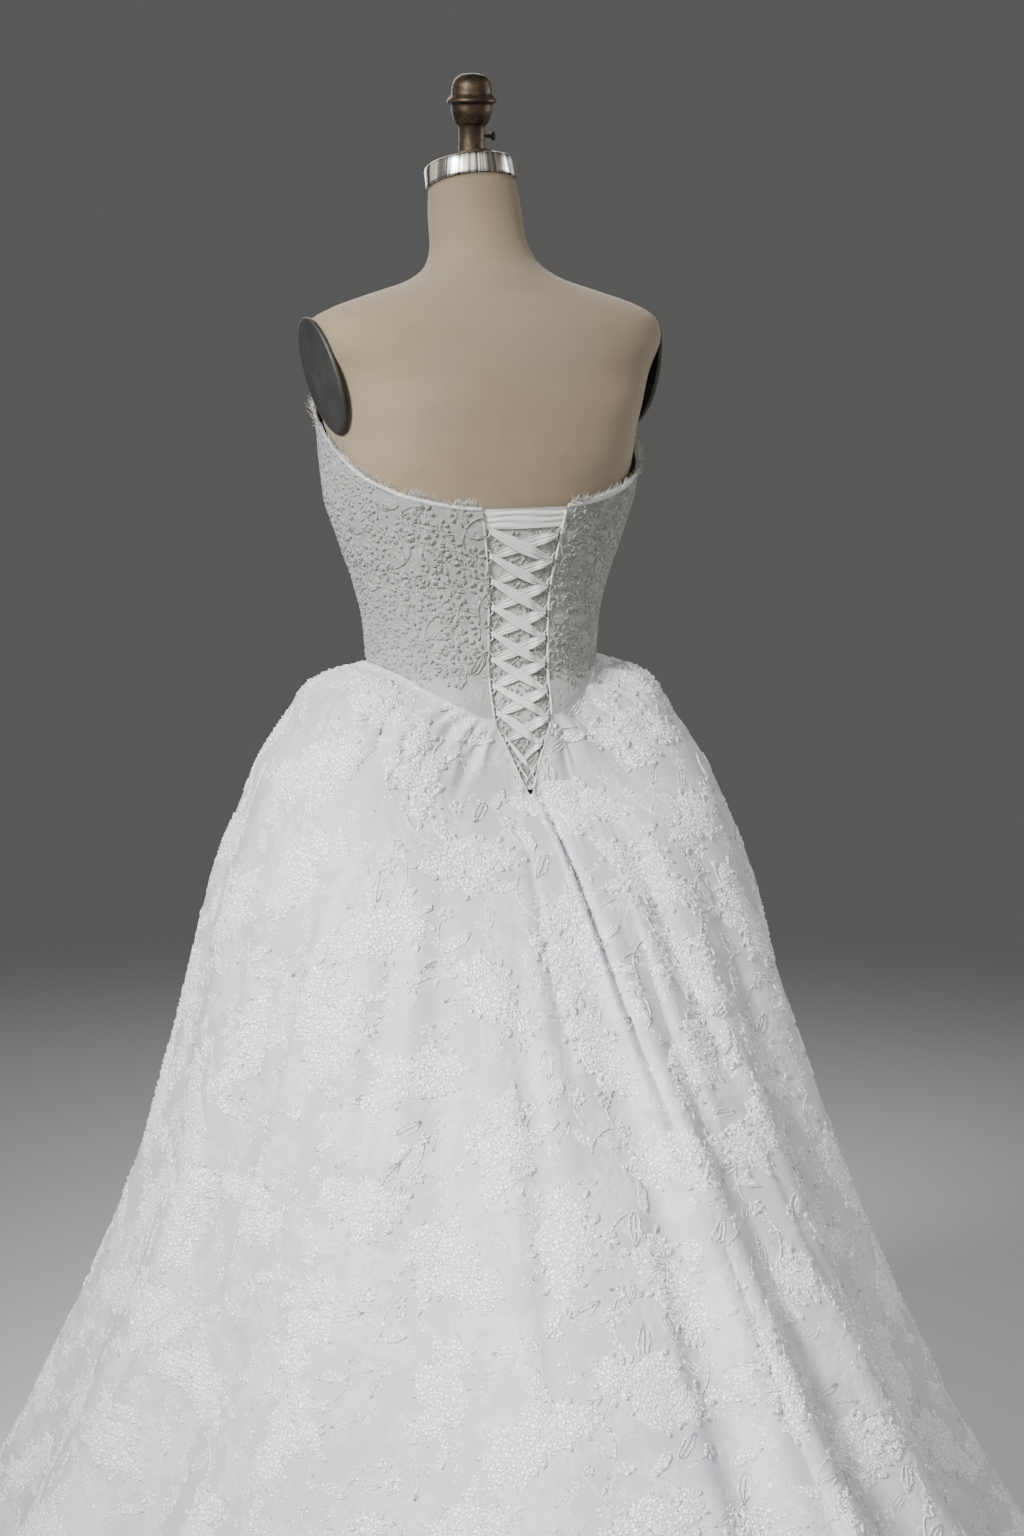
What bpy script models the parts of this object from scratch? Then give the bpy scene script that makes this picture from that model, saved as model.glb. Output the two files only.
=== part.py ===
# Wedding dress on a limbless dress form.
# Metres, +Z up. The origin is the centre of the stand base's underside, on the pole's axis.
# The wearer faces -Y, the laced back and the train are at +Y, the wearer's left is +X.
# Angles round the body run from 0 at the centre back to 90 at the wearer's left side.
import math

import bmesh
import bpy
import numpy as np
from mathutils import Matrix

# Cloth
CLOTH = 0.0015            # wall of satin, net and lace together
SEAM = 0.00016            # each panel stops this far short of its seam
BODICE_LIFT = 0.0048      # middle of the bodice wall above the form
PANEL_SINK = 0.0035       # modesty panel below the bodice wall's middle
PANEL_WALL = 0.0012
BAND_WALL = 0.0008
RIBBON_WALL = 0.0008
CORD = 0.0008             # radius of the lacing loops' cord
MERGE = 0.00005           # points closer than this are one

# Stand
POLE_R = 0.0125
POLE_CHAMFER = 0.0010
BASE_R = 0.190
BASE_TOP = 0.030
SEAT_GAP = 0.0004         # between pieces of the stand that rest on one another
FORM_FOOT = 0.845
FOOT_DROP = 0.006         # rounding under of the form's lower end
FORM_SHRINK = 0.0012      # the form is this much slimmer than the figure the cloth is cut on

# Figure of the form: a row per level, with
# level, half width, depth in front, depth behind, centre (y), squareness, forward lean
FORM_ROWS = (
    (0.845, 0.150, 0.092, 0.104, 0.020, 0.04, 0.0),
    (0.865, 0.163, 0.103, 0.115, 0.020, 0.04, 0.0),
    (0.900, 0.170, 0.110, 0.122, 0.020, 0.04, 0.0),
    (0.950, 0.164, 0.109, 0.119, 0.020, 0.04, 0.0),
    (1.000, 0.144, 0.101, 0.110, 0.021, 0.04, 0.0),
    (1.045, 0.125, 0.094, 0.104, 0.021, 0.04, 0.0),
    (1.085, 0.1175, 0.090, 0.094, 0.021, 0.04, 0.0),
    (1.125, 0.1205, 0.091, 0.094, 0.021, 0.04, 0.0),
    (1.165, 0.1295, 0.094, 0.097, 0.020, 0.05, 0.0),
    (1.215, 0.1470, 0.100, 0.106, 0.020, 0.06, 0.0),
    (1.265, 0.1610, 0.107, 0.115, 0.019, 0.09, 0.0),
    (1.310, 0.1620, 0.107, 0.119, 0.019, 0.18, 0.0),
    (1.350, 0.1700, 0.100, 0.118, 0.020, 0.20, 0.0),
    (1.390, 0.1860, 0.092, 0.111, 0.024, 0.11, 0.0),
    (1.420, 0.1980, 0.078, 0.099, 0.029, 0.12, 0.0),
    (1.438, 0.1920, 0.067, 0.088, 0.033, 0.12, 0.0),
    (1.452, 0.1680, 0.060, 0.078, 0.034, 0.10, 0.02),
    (1.466, 0.1250, 0.056, 0.069, 0.032, 0.06, 0.04),
    (1.480, 0.0800, 0.054, 0.063, 0.028, 0.02, 0.08),
    (1.496, 0.0590, 0.052, 0.055, 0.022, 0.00, 0.13),
    (1.520, 0.0505, 0.049, 0.051, 0.013, 0.00, 0.20),
    (1.550, 0.0495, 0.046, 0.047, 0.005, 0.00, 0.27),
    (1.5740, 0.0465, 0.0455, 0.0455, 0.000, 0.00, 0.30),
)
# Rounded additions to the figure: angle, level, width round, width up, height
FORM_SWELLS = (
    (147.0, 1.285, 21.0, 0.052, 0.034),
    (213.0, 1.285, 21.0, 0.052, 0.034),
    (38.0, 1.345, 24.0, 0.060, 0.004),
    (322.0, 1.345, 24.0, 0.060, 0.004),
    (33.0, 0.915, 24.0, 0.050, 0.006),
    (327.0, 0.915, 24.0, 0.050, 0.006),
)
ARM_CUT_X = 0.176         # flat cut of the armholes at the level below
ARM_CUT_Z = 1.380
ARM_CUT_SLOPE = 0.24
ARM_CUT_LOW = 1.318      # where the cut begins
PLATE_HALF_Y = 0.047
PLATE_HALF_Z = 0.0585
PLATE_WALL = 0.005
PLATE_Y = 0.031           # middle of the plates
PLATE_Z = 1.384
PLATE_TURN = 5.7          # degrees that the plates lean forward
PLATE_CHAMFER = 0.0013
PLATE_GAP = 0.0008

# Neck cap and finial
CAP_R = 0.0474
CAP_H = 0.0222
CAP_LEAN = 0.30           # rise towards the back of the cap's top
CAP_LEVEL = 1.5746
CAP_EDGE = 0.0030
FINIAL_ROWS = (           # radius, level; from the top down
    (0.0, 1.6880),
    (0.0075, 1.6874),
    (0.0140, 1.6850),
    (0.0185, 1.6800),
    (0.0206, 1.6730),
    (0.0215, 1.6660),
    (0.0252, 1.6610),
    (0.0250, 1.6575),
    (0.0215, 1.6565),
    (0.0208, 1.6480),
    (0.0168, 1.6375),
    (0.0138, 1.6335),
    (0.0136, 1.6180),
    (0.0150, 1.6045),
    (0.0255, 1.6038),
    (0.0268, 1.6024),
    (0.0268, 1.5990),
    (0.0260, 1.5982),
    (0.0, 1.5982),
)
FINIAL_FOOT = 1.6050      # below this level the finial leans with the cap
SCREW_Z = 1.6250
SCREW_R = 0.0020
SCREW_HOLE = 0.0023
SCREW_OUT = 0.0262        # how far the head's outer face stands from the axis
SCREW_LONG = 0.0170
SCREW_HEAD_R = 0.0046
SCREW_HEAD_H = 0.0044
SCREW_HEAD_FLAT = 0.55    # thickness of the flattened head as a share of its width
HOLE_FROM = -0.038
HOLE_DEPTH = 0.030

# Bodice edges
TOP_ROWS = (              # angle from the back, level of the top edge
    (0.0, 1.2505),
    (20.0, 1.2530),
    (45.0, 1.2660),
    (66.0, 1.2860),
    (90.0, 1.3160),
    (114.0, 1.3420),
    (135.0, 1.3560),
    (152.0, 1.3540),
    (168.0, 1.3300),
    (180.0, 1.3120),
)
SEAM_ROWS = (             # angle from the back, level of the waist seam
    (0.0, 1.0370),
    (16.0, 1.0375),
    (28.0, 1.0480),
    (45.0, 1.0640),
    (66.0, 1.0800),
    (90.0, 1.0860),
    (135.0, 1.0800),
    (180.0, 1.0740),
)
GAP_ROWS = (              # level, half width of the lacing gap
    (0.9575, 0.0),
    (0.9700, 0.0072),
    (0.9850, 0.0127),
    (1.0060, 0.0210),
    (1.0370, 0.0325),
    (1.0580, 0.0335),
    (1.1000, 0.0335),
    (1.1540, 0.0340),
    (1.2070, 0.0400),
    (1.2490, 0.0470),
    (1.2700, 0.0500),
)
BODICE_SEAMS = (42.0, 92.0, 146.0)
BODICE_ROWS = 10
EDGE_HEIGHT = 0.0030
EDGE_WALL = 0.0022
STRANDS = 56              # of the eyelash edge, on each side
STRAND_LENGTH = 0.0085
STRAND_ROOT = 0.86        # where each strand begins in its stretch of the edge
EDGE_END = 179.92         # angle of the edge's end at the centre front

# Skirt: a row per ring, with
# share, half width, side level, centre y, front depth, front level,
# fullness behind, centre back depth, back level
SKIRT_ROWS = (
    (0.000, 0.1225, 1.0860, 0.021, 0.0950, 1.0740, 0.1165, 0.1165, 1.0370),
    (0.004, 0.1228, 1.0832, 0.021, 0.0953, 1.0712, 0.1167, 0.1163, 1.0342),
    (0.013, 0.1310, 1.0798, 0.021, 0.1030, 1.0676, 0.1190, 0.1160, 1.0285),
    (0.030, 0.1620, 1.0730, 0.021, 0.1320, 1.0600, 0.1300, 0.1160, 1.0170),
    (0.055, 0.1900, 1.0570, 0.021, 0.1660, 1.0450, 0.1480, 0.1170, 0.9990),
    (0.085, 0.2090, 1.0250, 0.021, 0.1920, 1.0140, 0.1740, 0.1200, 0.9780),
    (0.120, 0.2380, 0.9800, 0.021, 0.2220, 0.9700, 0.2100, 0.1270, 0.9575),
    (0.165, 0.2610, 0.9260, 0.021, 0.2470, 0.9180, 0.2450, 0.1680, 0.9200),
    (0.220, 0.2870, 0.8600, 0.022, 0.2720, 0.8540, 0.2720, 0.2140, 0.8650),
    (0.290, 0.3080, 0.7780, 0.022, 0.2950, 0.7730, 0.3110, 0.2680, 0.7880),
    (0.370, 0.3290, 0.6880, 0.023, 0.3180, 0.6840, 0.3580, 0.3300, 0.6990),
    (0.455, 0.3540, 0.5900, 0.024, 0.3460, 0.5870, 0.4100, 0.3980, 0.6030),
    (0.545, 0.3880, 0.4890, 0.025, 0.3800, 0.4860, 0.4540, 0.4700, 0.5010),
    (0.635, 0.4320, 0.3900, 0.026, 0.4200, 0.3880, 0.4880, 0.5480, 0.4000),
    (0.725, 0.4800, 0.2900, 0.027, 0.4620, 0.2890, 0.5220, 0.6380, 0.2990),
    (0.805, 0.5290, 0.2000, 0.028, 0.5000, 0.1990, 0.5900, 0.7350, 0.2050),
    (0.870, 0.5750, 0.1300, 0.029, 0.5320, 0.1290, 0.6550, 0.8380, 0.1220),
    (0.920, 0.6150, 0.0760, 0.030, 0.5580, 0.0760, 0.7100, 0.9380, 0.0620),
    (0.962, 0.6480, 0.0330, 0.031, 0.5800, 0.0330, 0.7500, 1.0380, 0.0220),
    (1.000, 0.6800, 0.0010, 0.032, 0.6000, 0.0010, 0.7900, 1.1300, 0.0010),
)
SKIRT_RING_SHARES = (
    0.0, 0.0035, 0.013, 0.032, 0.060, 0.100, 0.150, 0.210, 0.280, 0.360, 0.445,
    0.530, 0.615, 0.700, 0.780, 0.850, 0.910, 0.958, 1.0,
)
TRAIN_POWER = 3.0
# Large folds: angle at the waist, at mid height, at the hem; reach to the side before it and
# after it at the hem, in degrees; height at mid length and at the hem; share where it begins
FOLD_ROWS = (
    (-1.0, -9.5, -12.0, 7.0, 4.5, -0.028, -0.055, 0.125),
    (3.5, -3.0, -4.5, 4.5, 7.0, 0.014, 0.030, 0.140),
    (13.0, 20.5, 23.0, 6.0, 6.0, -0.007, -0.014, 0.120),
    (20.0, 34.0, 38.0, 9.0, 8.0, 0.008, 0.018, 0.120),
    (26.0, 47.0, 57.0, 7.0, 7.0, -0.012, -0.022, 0.120),
    (47.0, 68.0, 72.0, 7.0, 6.0, 0.015, 0.026, 0.100),
    (61.0, 80.0, 84.0, 6.0, 7.0, -0.012, -0.024, 0.100),
    (82.0, 94.0, 97.0, 8.0, 8.0, 0.008, 0.018, 0.140),
    (100.0, 107.0, 110.0, 7.0, 7.0, -0.008, -0.018, 0.140),
    (118.0, 122.0, 124.0, 8.0, 8.0, 0.007, 0.016, 0.160),
    (134.0, 137.0, 138.0, 8.0, 8.0, -0.008, -0.018, 0.140),
    (153.0, 154.0, 155.0, 9.0, 9.0, 0.008, 0.016, 0.160),
    (171.0, 171.0, 171.0, 8.0, 8.0, -0.009, -0.019, 0.120),
    (189.0, 189.0, 188.0, 9.0, 9.0, 0.008, 0.016, 0.160),
    (207.0, 206.0, 205.0, 8.0, 8.0, -0.008, -0.018, 0.140),
    (225.0, 223.0, 222.0, 9.0, 9.0, 0.007, 0.016, 0.160),
    (242.0, 239.0, 238.0, 8.0, 8.0, -0.008, -0.019, 0.140),
    (260.0, 257.0, 255.0, 9.0, 9.0, 0.008, 0.018, 0.160),
    (277.0, 274.0, 272.0, 7.0, 7.0, -0.008, -0.020, 0.140),
    (294.0, 291.0, 288.0, 8.0, 8.0, 0.009, 0.020, 0.120),
    (309.0, 306.0, 302.0, 7.0, 7.0, -0.010, -0.022, 0.120),
    (325.0, 320.0, 314.0, 7.0, 7.0, 0.012, 0.024, 0.100),
    (341.0, 333.5, 326.5, 7.0, 5.5, -0.014, -0.030, 0.110),
    (350.0, 342.5, 338.0, 5.5, 6.0, 0.010, 0.022, 0.140),
)
# Skirt gores: name, first and last angle, columns
GORES = (
    ("skirt_back_left", 0.0, 26.0, 11),
    ("skirt_side_back_left", 26.0, 74.0, 12),
    ("skirt_side_front_left", 74.0, 132.0, 10),
    ("skirt_front", 132.0, 228.0, 16),
    ("skirt_side_front_right", 228.0, 286.0, 10),
    ("skirt_side_back_right", 286.0, 334.0, 12),
    ("skirt_back_right", 334.0, 360.0, 11),
)

# Lacing
LOOP_COUNT = 10
LOOP_PITCH = 0.0268
LOOP_FIRST_LEFT = 1.2300
LOOP_FIRST_RIGHT = 1.2235
LOOP_OUT = 0.0050
LOOP_HALF = 0.0080
LOOP_STRAIGHT = 0.0040
CORD_CLEAR = 0.0013
RIBBON_TURN = 0.0017
RIBBON_EDGE_HALF = 0.0034
RIBBON_BULGE = 0.0028
PANEL_LOW = 0.9630
PANEL_TOP = 1.2360
PANEL_UNDER = 0.0085      # how far the modesty panel runs in under the bodice on each side
BAND_LOW = 1.2310
BAND_TOP = 1.2520
BAND_UNDER = 0.0060
BAND_PLEATS = 3
BAND_SINK = 0.0019
PLEAT_RISE = 0.0003

COLLECTION = "wedding_dress_on_form"


def clear_scene():
    for item in list(bpy.data.objects):
        bpy.data.objects.remove(item, do_unlink=True)


def curve_value(rows, column, value):
    """Smooth monotone reading of one column of a table, by its first column."""
    xs = [row[0] for row in rows]
    ys = [row[column] for row in rows]
    if value <= xs[0]:
        return ys[0]
    if value >= xs[-1]:
        return ys[-1]
    last = len(xs) - 1
    k = 0
    while value > xs[k + 1]:
        k += 1
    step = xs[k + 1] - xs[k]
    slope = (ys[k + 1] - ys[k]) / step

    def tangent(i):
        if i == 0 or i == last:
            j = 0 if i == 0 else last - 1
            return (ys[j + 1] - ys[j]) / (xs[j + 1] - xs[j])
        h0 = xs[i] - xs[i - 1]
        h1 = xs[i + 1] - xs[i]
        d0 = (ys[i] - ys[i - 1]) / h0
        d1 = (ys[i + 1] - ys[i]) / h1
        if d0 * d1 <= 0.0:
            return 0.0
        w0 = 2.0 * h1 + h0
        w1 = h1 + 2.0 * h0
        return (w0 + w1) / (w0 / d0 + w1 / d1)

    u = (value - xs[k]) / step
    m0 = tangent(k) * step
    m1 = tangent(k + 1) * step
    return (
        ys[k] * (1.0 + 2.0 * u) * (1.0 - u) ** 2
        + m0 * u * (1.0 - u) ** 2
        + ys[k + 1] * u * u * (3.0 - 2.0 * u)
        + m1 * u * u * (u - 1.0)
    )


def ease(value):
    u = min(1.0, max(0.0, value))
    return u * u * (3.0 - 2.0 * u)


def wrap(angle):
    return (angle + 180.0) % 360.0 - 180.0


def around(angle):
    """Angle from the centre back, the same on both sides."""
    return abs(wrap(angle))


def form_point(angle, level, lift=0.0):
    """Point of the figure's skin, or of a sheet lying that far above it."""
    half_x = curve_value(FORM_ROWS, 1, level) + lift
    front = curve_value(FORM_ROWS, 2, level) + lift
    back = curve_value(FORM_ROWS, 3, level) + lift
    centre = curve_value(FORM_ROWS, 4, level)
    square = curve_value(FORM_ROWS, 5, level)
    lean = curve_value(FORM_ROWS, 6, level)
    rad = math.radians(angle)
    s = math.sin(rad)
    c = math.cos(rad)
    swell = 0.0
    for mid, height, wide, tall, rise in FORM_SWELLS:
        off = wrap(angle - mid) / wide
        up = (level - height) / tall
        swell += rise * math.exp(-off * off - up * up)
    x = half_x * s * (1.0 + square * c * c)
    depth = back if c > 0.0 else front
    y = depth * c * (1.0 + square * s * s)
    x += swell * s * 0.5
    y += swell * c
    cut = ARM_CUT_X + ARM_CUT_SLOPE * (level - ARM_CUT_Z) + lift
    if abs(x) > cut:
        x = math.copysign(abs(x) + (cut - abs(x)) * ease((level - ARM_CUT_LOW) / 0.025), x)
    return np.array((x, centre + y, level + lean * y))


def top_level(angle):
    return curve_value(TOP_ROWS, 1, around(angle))


def seam_level(angle):
    return curve_value(SEAM_ROWS, 1, around(angle))


def gap_half(level):
    return curve_value(GAP_ROWS, 1, level)


def bodice_point(angle, level):
    return form_point(angle, level, BODICE_LIFT)


def gap_angle(level):
    """Angle at which the bodice meets the lacing gap at a level."""
    half = gap_half(level)
    low = 0.0
    high = 60.0
    for _ in range(26):
        mid = 0.5 * (low + high)
        if bodice_point(mid, level)[0] < half:
            low = mid
        else:
            high = mid
    return 0.5 * (low + high)


def skirt_base(angle, share):
    """Skirt without its folds."""
    half_x, z_side, centre, front, z_front, full, back, z_back = (
        curve_value(SKIRT_ROWS, k, share) for k in range(1, 9)
    )
    rad = math.radians(angle)
    s = math.sin(rad)
    c = math.cos(rad)
    if c > 0.0:
        near = c ** TRAIN_POWER
        y = centre + (full + (back - full) * near) * c
        z = z_side * (1.0 - near) + z_back * near
    else:
        near = c * c
        y = centre + front * c
        z = z_side * (1.0 - near) + z_front * near
    point = np.array((half_x * s, y, z))
    if share < 0.12:
        level = seam_level(angle)
        rad_0 = SKIRT_ROWS[0]
        if c > 0.0:
            near_0 = c ** TRAIN_POWER
            y_0 = rad_0[3] + (rad_0[6] + (rad_0[7] - rad_0[6]) * near_0) * c
            z_0 = rad_0[2] * (1.0 - near_0) + rad_0[8] * near_0
        else:
            y_0 = rad_0[3] + rad_0[4] * c
            z_0 = rad_0[2] * (1.0 - c * c) + rad_0[5] * c * c
        start = np.array((rad_0[1] * s, y_0, z_0))
        fade = (1.0 - share / 0.12) ** 2
        point = point + (bodice_point(angle, level) - start) * fade
    return point


def fold_height(angle, share):
    total = 0.0
    for row in FOLD_ROWS:
        waist, mid, hem, before, after, at_mid, at_hem, begin = row
        if share <= begin:
            continue
        if share < 0.5:
            centre = waist + (mid - waist) * share / 0.5
        else:
            centre = mid + (hem - mid) * (share - 0.5) / 0.5
        off = wrap(angle - centre)
        reach = before if off < 0.0 else after
        reach *= 0.75 + 0.25 * share
        if abs(off) > 3.2 * reach:
            continue
        grow = ease((share - begin) / 0.40)
        tall = at_mid * grow + (at_hem - at_mid) * max(0.0, share - 0.5) / 0.5
        total += tall * math.exp(-((off / reach) ** 2))
    return total


def skirt_point(angle, share):
    base = skirt_base(angle, share)
    rise = fold_height(angle, share)
    if rise == 0.0:
        return base
    step_a = 0.4
    step_s = 0.004
    low = max(0.0, share - step_s)
    high = min(1.0, share + step_s)
    round_way = skirt_base(angle + step_a, share) - skirt_base(angle - step_a, share)
    down_way = skirt_base(angle, high) - skirt_base(angle, low)
    normal = np.cross(round_way, -down_way)
    normal[2] *= 0.35 * (1.0 - ease((share - 0.80) / 0.15))
    normal = normal / np.linalg.norm(normal)
    flat = 1.0
    if base[2] < 0.16:
        flat = 0.35 + 0.65 * base[2] / 0.16
    point = base + normal * rise * flat
    return point


def skirt_start(angle):
    """Share at which the skirt begins: the waist seam, or the edge of the lacing notch."""
    if around(angle) > 20.0:
        return 0.0
    first = skirt_base(angle, 0.0)
    if abs(first[0]) >= gap_half(first[2]):
        return 0.0
    low = 0.0
    high = 0.16
    for _ in range(30):
        mid = 0.5 * (low + high)
        point = skirt_base(angle, mid)
        if abs(point[0]) < gap_half(point[2]):
            low = mid
        else:
            high = mid
    return 0.5 * (low + high)


def sheet_frame(surface, u, v, step=1e-4):
    """Point and outward unit normal of a surface of two shares."""
    u0 = max(0.0, u - step)
    u1 = min(1.0, u + step)
    v0 = max(0.0, v - step)
    v1 = min(1.0, v + step)
    along_u = (surface(u1, v) - surface(u0, v)) / (u1 - u0)
    along_v = (surface(u, v1) - surface(u, v0)) / (v1 - v0)
    normal = np.cross(along_u, along_v)
    size = np.linalg.norm(normal)
    return surface(u, v), normal / size, along_u, along_v


def sheet_grids(surface, us, vs, wall, trims, flip=False):
    """Outer and inner points of a wall; trims shorten it at its four sides (metres)."""
    outer = []
    inner = []
    for j, v in enumerate(vs):
        row_out = []
        row_in = []
        for i, u in enumerate(us):
            point, normal, along_u, along_v = sheet_frame(surface, u, v)
            uu = u
            vv = v
            if i == 0 and trims[0]:
                uu = u + trims[0] / np.linalg.norm(along_u)
            if i == len(us) - 1 and trims[1]:
                uu = u - trims[1] / np.linalg.norm(along_u)
            if j == 0 and trims[2]:
                vv = v + trims[2] / np.linalg.norm(along_v)
            if j == len(vs) - 1 and trims[3]:
                vv = v - trims[3] / np.linalg.norm(along_v)
            if uu != u or vv != v:
                point = surface(uu, vv)
            if flip:
                normal = -normal
            row_out.append(point + normal * wall * 0.5)
            row_in.append(point - normal * wall * 0.5)
        outer.append(row_out)
        inner.append(row_in)
    return outer, inner


def closed_wall(outer, inner):
    """Vertices and faces of a closed wall between two equal grids."""
    rows = len(outer)
    cols = len(outer[0])
    verts = [tuple(p) for row in outer for p in row]
    verts += [tuple(p) for row in inner for p in row]
    half = rows * cols
    faces = []
    for j in range(rows - 1):
        for i in range(cols - 1):
            a = j * cols + i
            b = a + 1
            c = a + cols + 1
            d = a + cols
            faces.append((a, b, c, d))
            faces.append((half + a, half + d, half + c, half + b))
    for i in range(cols - 1):
        a = i
        b = i + 1
        faces.append((a, half + a, half + b, b))
        c = (rows - 1) * cols + i
        d = c + 1
        faces.append((c, d, half + d, half + c))
    for j in range(rows - 1):
        a = j * cols
        b = a + cols
        faces.append((a, b, half + b, half + a))
        c = j * cols + cols - 1
        d = c + cols
        faces.append((c, half + c, half + d, d))
    return verts, faces


def paint(name, colour, rough, metal=0.0):
    material = bpy.data.materials.new(name)
    material.use_nodes = True
    shader = material.node_tree.nodes["Principled BSDF"]
    shader.inputs["Base Color"].default_value = (*colour, 1.0)
    shader.inputs["Roughness"].default_value = rough
    shader.inputs["Metallic"].default_value = metal
    material.diffuse_color = (*colour, 1.0)
    return material


def add_mesh(collection, name, verts, faces, look):
    mesh = bpy.data.meshes.new(name)
    mesh.from_pydata([tuple(float(n) for n in v) for v in verts], [], faces)
    mesh.validate()
    work = bmesh.new()
    work.from_mesh(mesh)
    bmesh.ops.recalc_face_normals(work, faces=work.faces)
    work.to_mesh(mesh)
    work.free()
    item = bpy.data.objects.new(name, mesh)
    item.data.materials.append(paint(name + "_look", *look))
    collection.objects.link(item)
    return item


def tube_between_rings(rings, close_low=True, close_high=True):
    """Closed body lofted through rings of equal count."""
    count = len(rings[0])
    verts = [tuple(p) for ring in rings for p in ring]
    faces = []
    for j in range(len(rings) - 1):
        for i in range(count):
            a = j * count + i
            b = j * count + (i + 1) % count
            faces.append((a, b, b + count, a + count))
    if close_low:
        faces.append(tuple(reversed(range(count))))
    if close_high:
        top = (len(rings) - 1) * count
        faces.append(tuple(top + i for i in range(count)))
    return verts, faces


def shares(count):
    return [k / count for k in range(count + 1)]


# Bodice panels

def bodice_surface(first, last, meets_gap):
    """Surface of a bodice panel between two angles; one side may follow the lacing gap."""

    def surface(u, v):
        angle = first + (last - first) * u
        if meets_gap:
            side = 1.0 if last + first > 0.0 else -1.0
            for _ in range(4):
                low = seam_level(angle)
                level = low + (top_level(angle) - low) * v
                edge = gap_angle(level) * side
                if side > 0.0:
                    angle = edge + (last - edge) * u
                else:
                    angle = first + (edge - first) * u
        low = seam_level(angle)
        level = low + (top_level(angle) - low) * v
        return bodice_point(angle, level)

    return surface


def add_bodice(collection):
    look = ((0.86, 0.85, 0.83), 0.6)
    seams = BODICE_SEAMS
    panels = (
        ("bodice_centre_back_left", 14.0, seams[0], True, 4),
        ("bodice_side_back_left", seams[0], seams[1], False, 5),
        ("bodice_side_front_left", seams[1], seams[2], False, 7),
        ("bodice_centre_front", seams[2], 360.0 - seams[2], False, 10),
        ("bodice_side_front_right", -seams[2], -seams[1], False, 7),
        ("bodice_side_back_right", -seams[1], -seams[0], False, 5),
        ("bodice_centre_back_right", -seams[0], -14.0, True, 4),
    )
    for name, first, last, meets, cols in panels:
        surface = bodice_surface(first, last, meets)
        trims = (SEAM, SEAM, SEAM + 0.00004, SEAM)
        outer, inner = sheet_grids(surface, shares(cols), shares(BODICE_ROWS), CLOTH, trims, True)
        verts, faces = closed_wall(outer, inner)
        add_mesh(collection, name, verts, faces, look)


def edge_frame(angle, up):
    """Point above the bodice's top edge by a distance, and the directions out and up."""
    level = top_level(angle)
    here = bodice_point(angle, level)
    below = bodice_point(angle, level - 0.002)
    rise = here - below
    rise = rise / np.linalg.norm(rise)
    side = bodice_point(angle + 0.5, level) - bodice_point(angle - 0.5, level)
    out = np.cross(rise, side)
    out = out / np.linalg.norm(out)
    if out @ (here - np.array((0.0, 0.02, level))) < 0.0:
        out = -out
    return here + rise * up, out, rise


def add_top_edges(collection):
    """Narrow turned edge along the bodice's top with an eyelash of single strands."""
    look = ((0.92, 0.91, 0.90), 0.55)
    start = gap_angle(top_level(24.0)) + 0.3
    stop = EDGE_END
    for name, side in (("top_edge_left", 1.0), ("top_edge_right", -1.0)):
        marks = []
        wide = (stop - start) / STRANDS
        for k in range(STRANDS):
            marks.append(start + wide * k)
            marks.append(start + wide * (k + STRAND_ROOT))
        marks.append(stop)
        outer = []
        inner = []
        for up in (SEAM * 2.0, SEAM * 2.0 + EDGE_HEIGHT):
            row_out = []
            row_in = []
            for angle in marks:
                point, out, rise = edge_frame(angle * side, up)
                row_out.append(point + out * EDGE_WALL * 0.5)
                row_in.append(point - out * EDGE_WALL * 0.5)
            outer.append(row_out)
            inner.append(row_in)
        verts, faces = closed_wall(outer, inner)
        cols = len(marks)
        half = 2 * cols
        kept = []
        strand_faces = []
        tops = {}
        for k in range(STRANDS):
            i = 2 * k + 1
            tops[frozenset((cols + i, cols + i + 1, half + cols + i, half + cols + i + 1))] = k
        for face in faces:
            key = frozenset(face)
            if key in tops:
                k = tops[key]
                angle = marks[2 * k + 1] * side
                point, out, rise = edge_frame(angle, SEAM * 2.0 + EDGE_HEIGHT)
                lean = 0.55 + 0.30 * math.sin(2.4 * k)
                sway = 0.35 * math.sin(1.7 * k + 0.6)
                along = np.cross(out, rise)
                way = rise + out * lean + along * sway
                way = way / np.linalg.norm(way)
                size = STRAND_LENGTH * (0.80 + 0.20 * math.sin(3.1 * k + 1.0))
                mean = sum(np.array(verts[n]) for n in face) / 4.0
                tip = mean + way * size
                verts.append(tuple(tip))
                top = len(verts) - 1
                for n in range(4):
                    strand_faces.append((face[n], face[(n + 1) % 4], top))
            else:
                kept.append(face)
        add_mesh(collection, name, verts, kept + strand_faces, look)


# Skirt gores

def gore_surface(first, last):
    def surface(u, v):
        angle = first + (last - first) * u
        begin = skirt_start(angle)
        share = begin + (1.0 - begin) * v
        return skirt_point(angle, share)

    return surface


def lift_to_floor(outer, inner):
    """Keep the whole wall on or above the floor."""
    for row_out, row_in in zip(outer, inner):
        for i in range(len(row_out)):
            a = row_out[i]
            b = row_in[i]
            low = min(a[2], b[2])
            if low < 0.0:
                a[2] -= low
                b[2] -= low


def add_skirt(collection):
    look = ((0.90, 0.89, 0.87), 0.6)
    for name, first, last, cols in GORES:
        surface = gore_surface(first, last)
        trims = (SEAM, SEAM, SEAM + 0.00004, 0.0)
        outer, inner = sheet_grids(surface, shares(cols), SKIRT_RING_SHARES, CLOTH, trims)
        lift_to_floor(outer, inner)
        verts, faces = closed_wall(outer, inner)
        add_mesh(collection, name, verts, faces, look)


# Back layers

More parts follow.
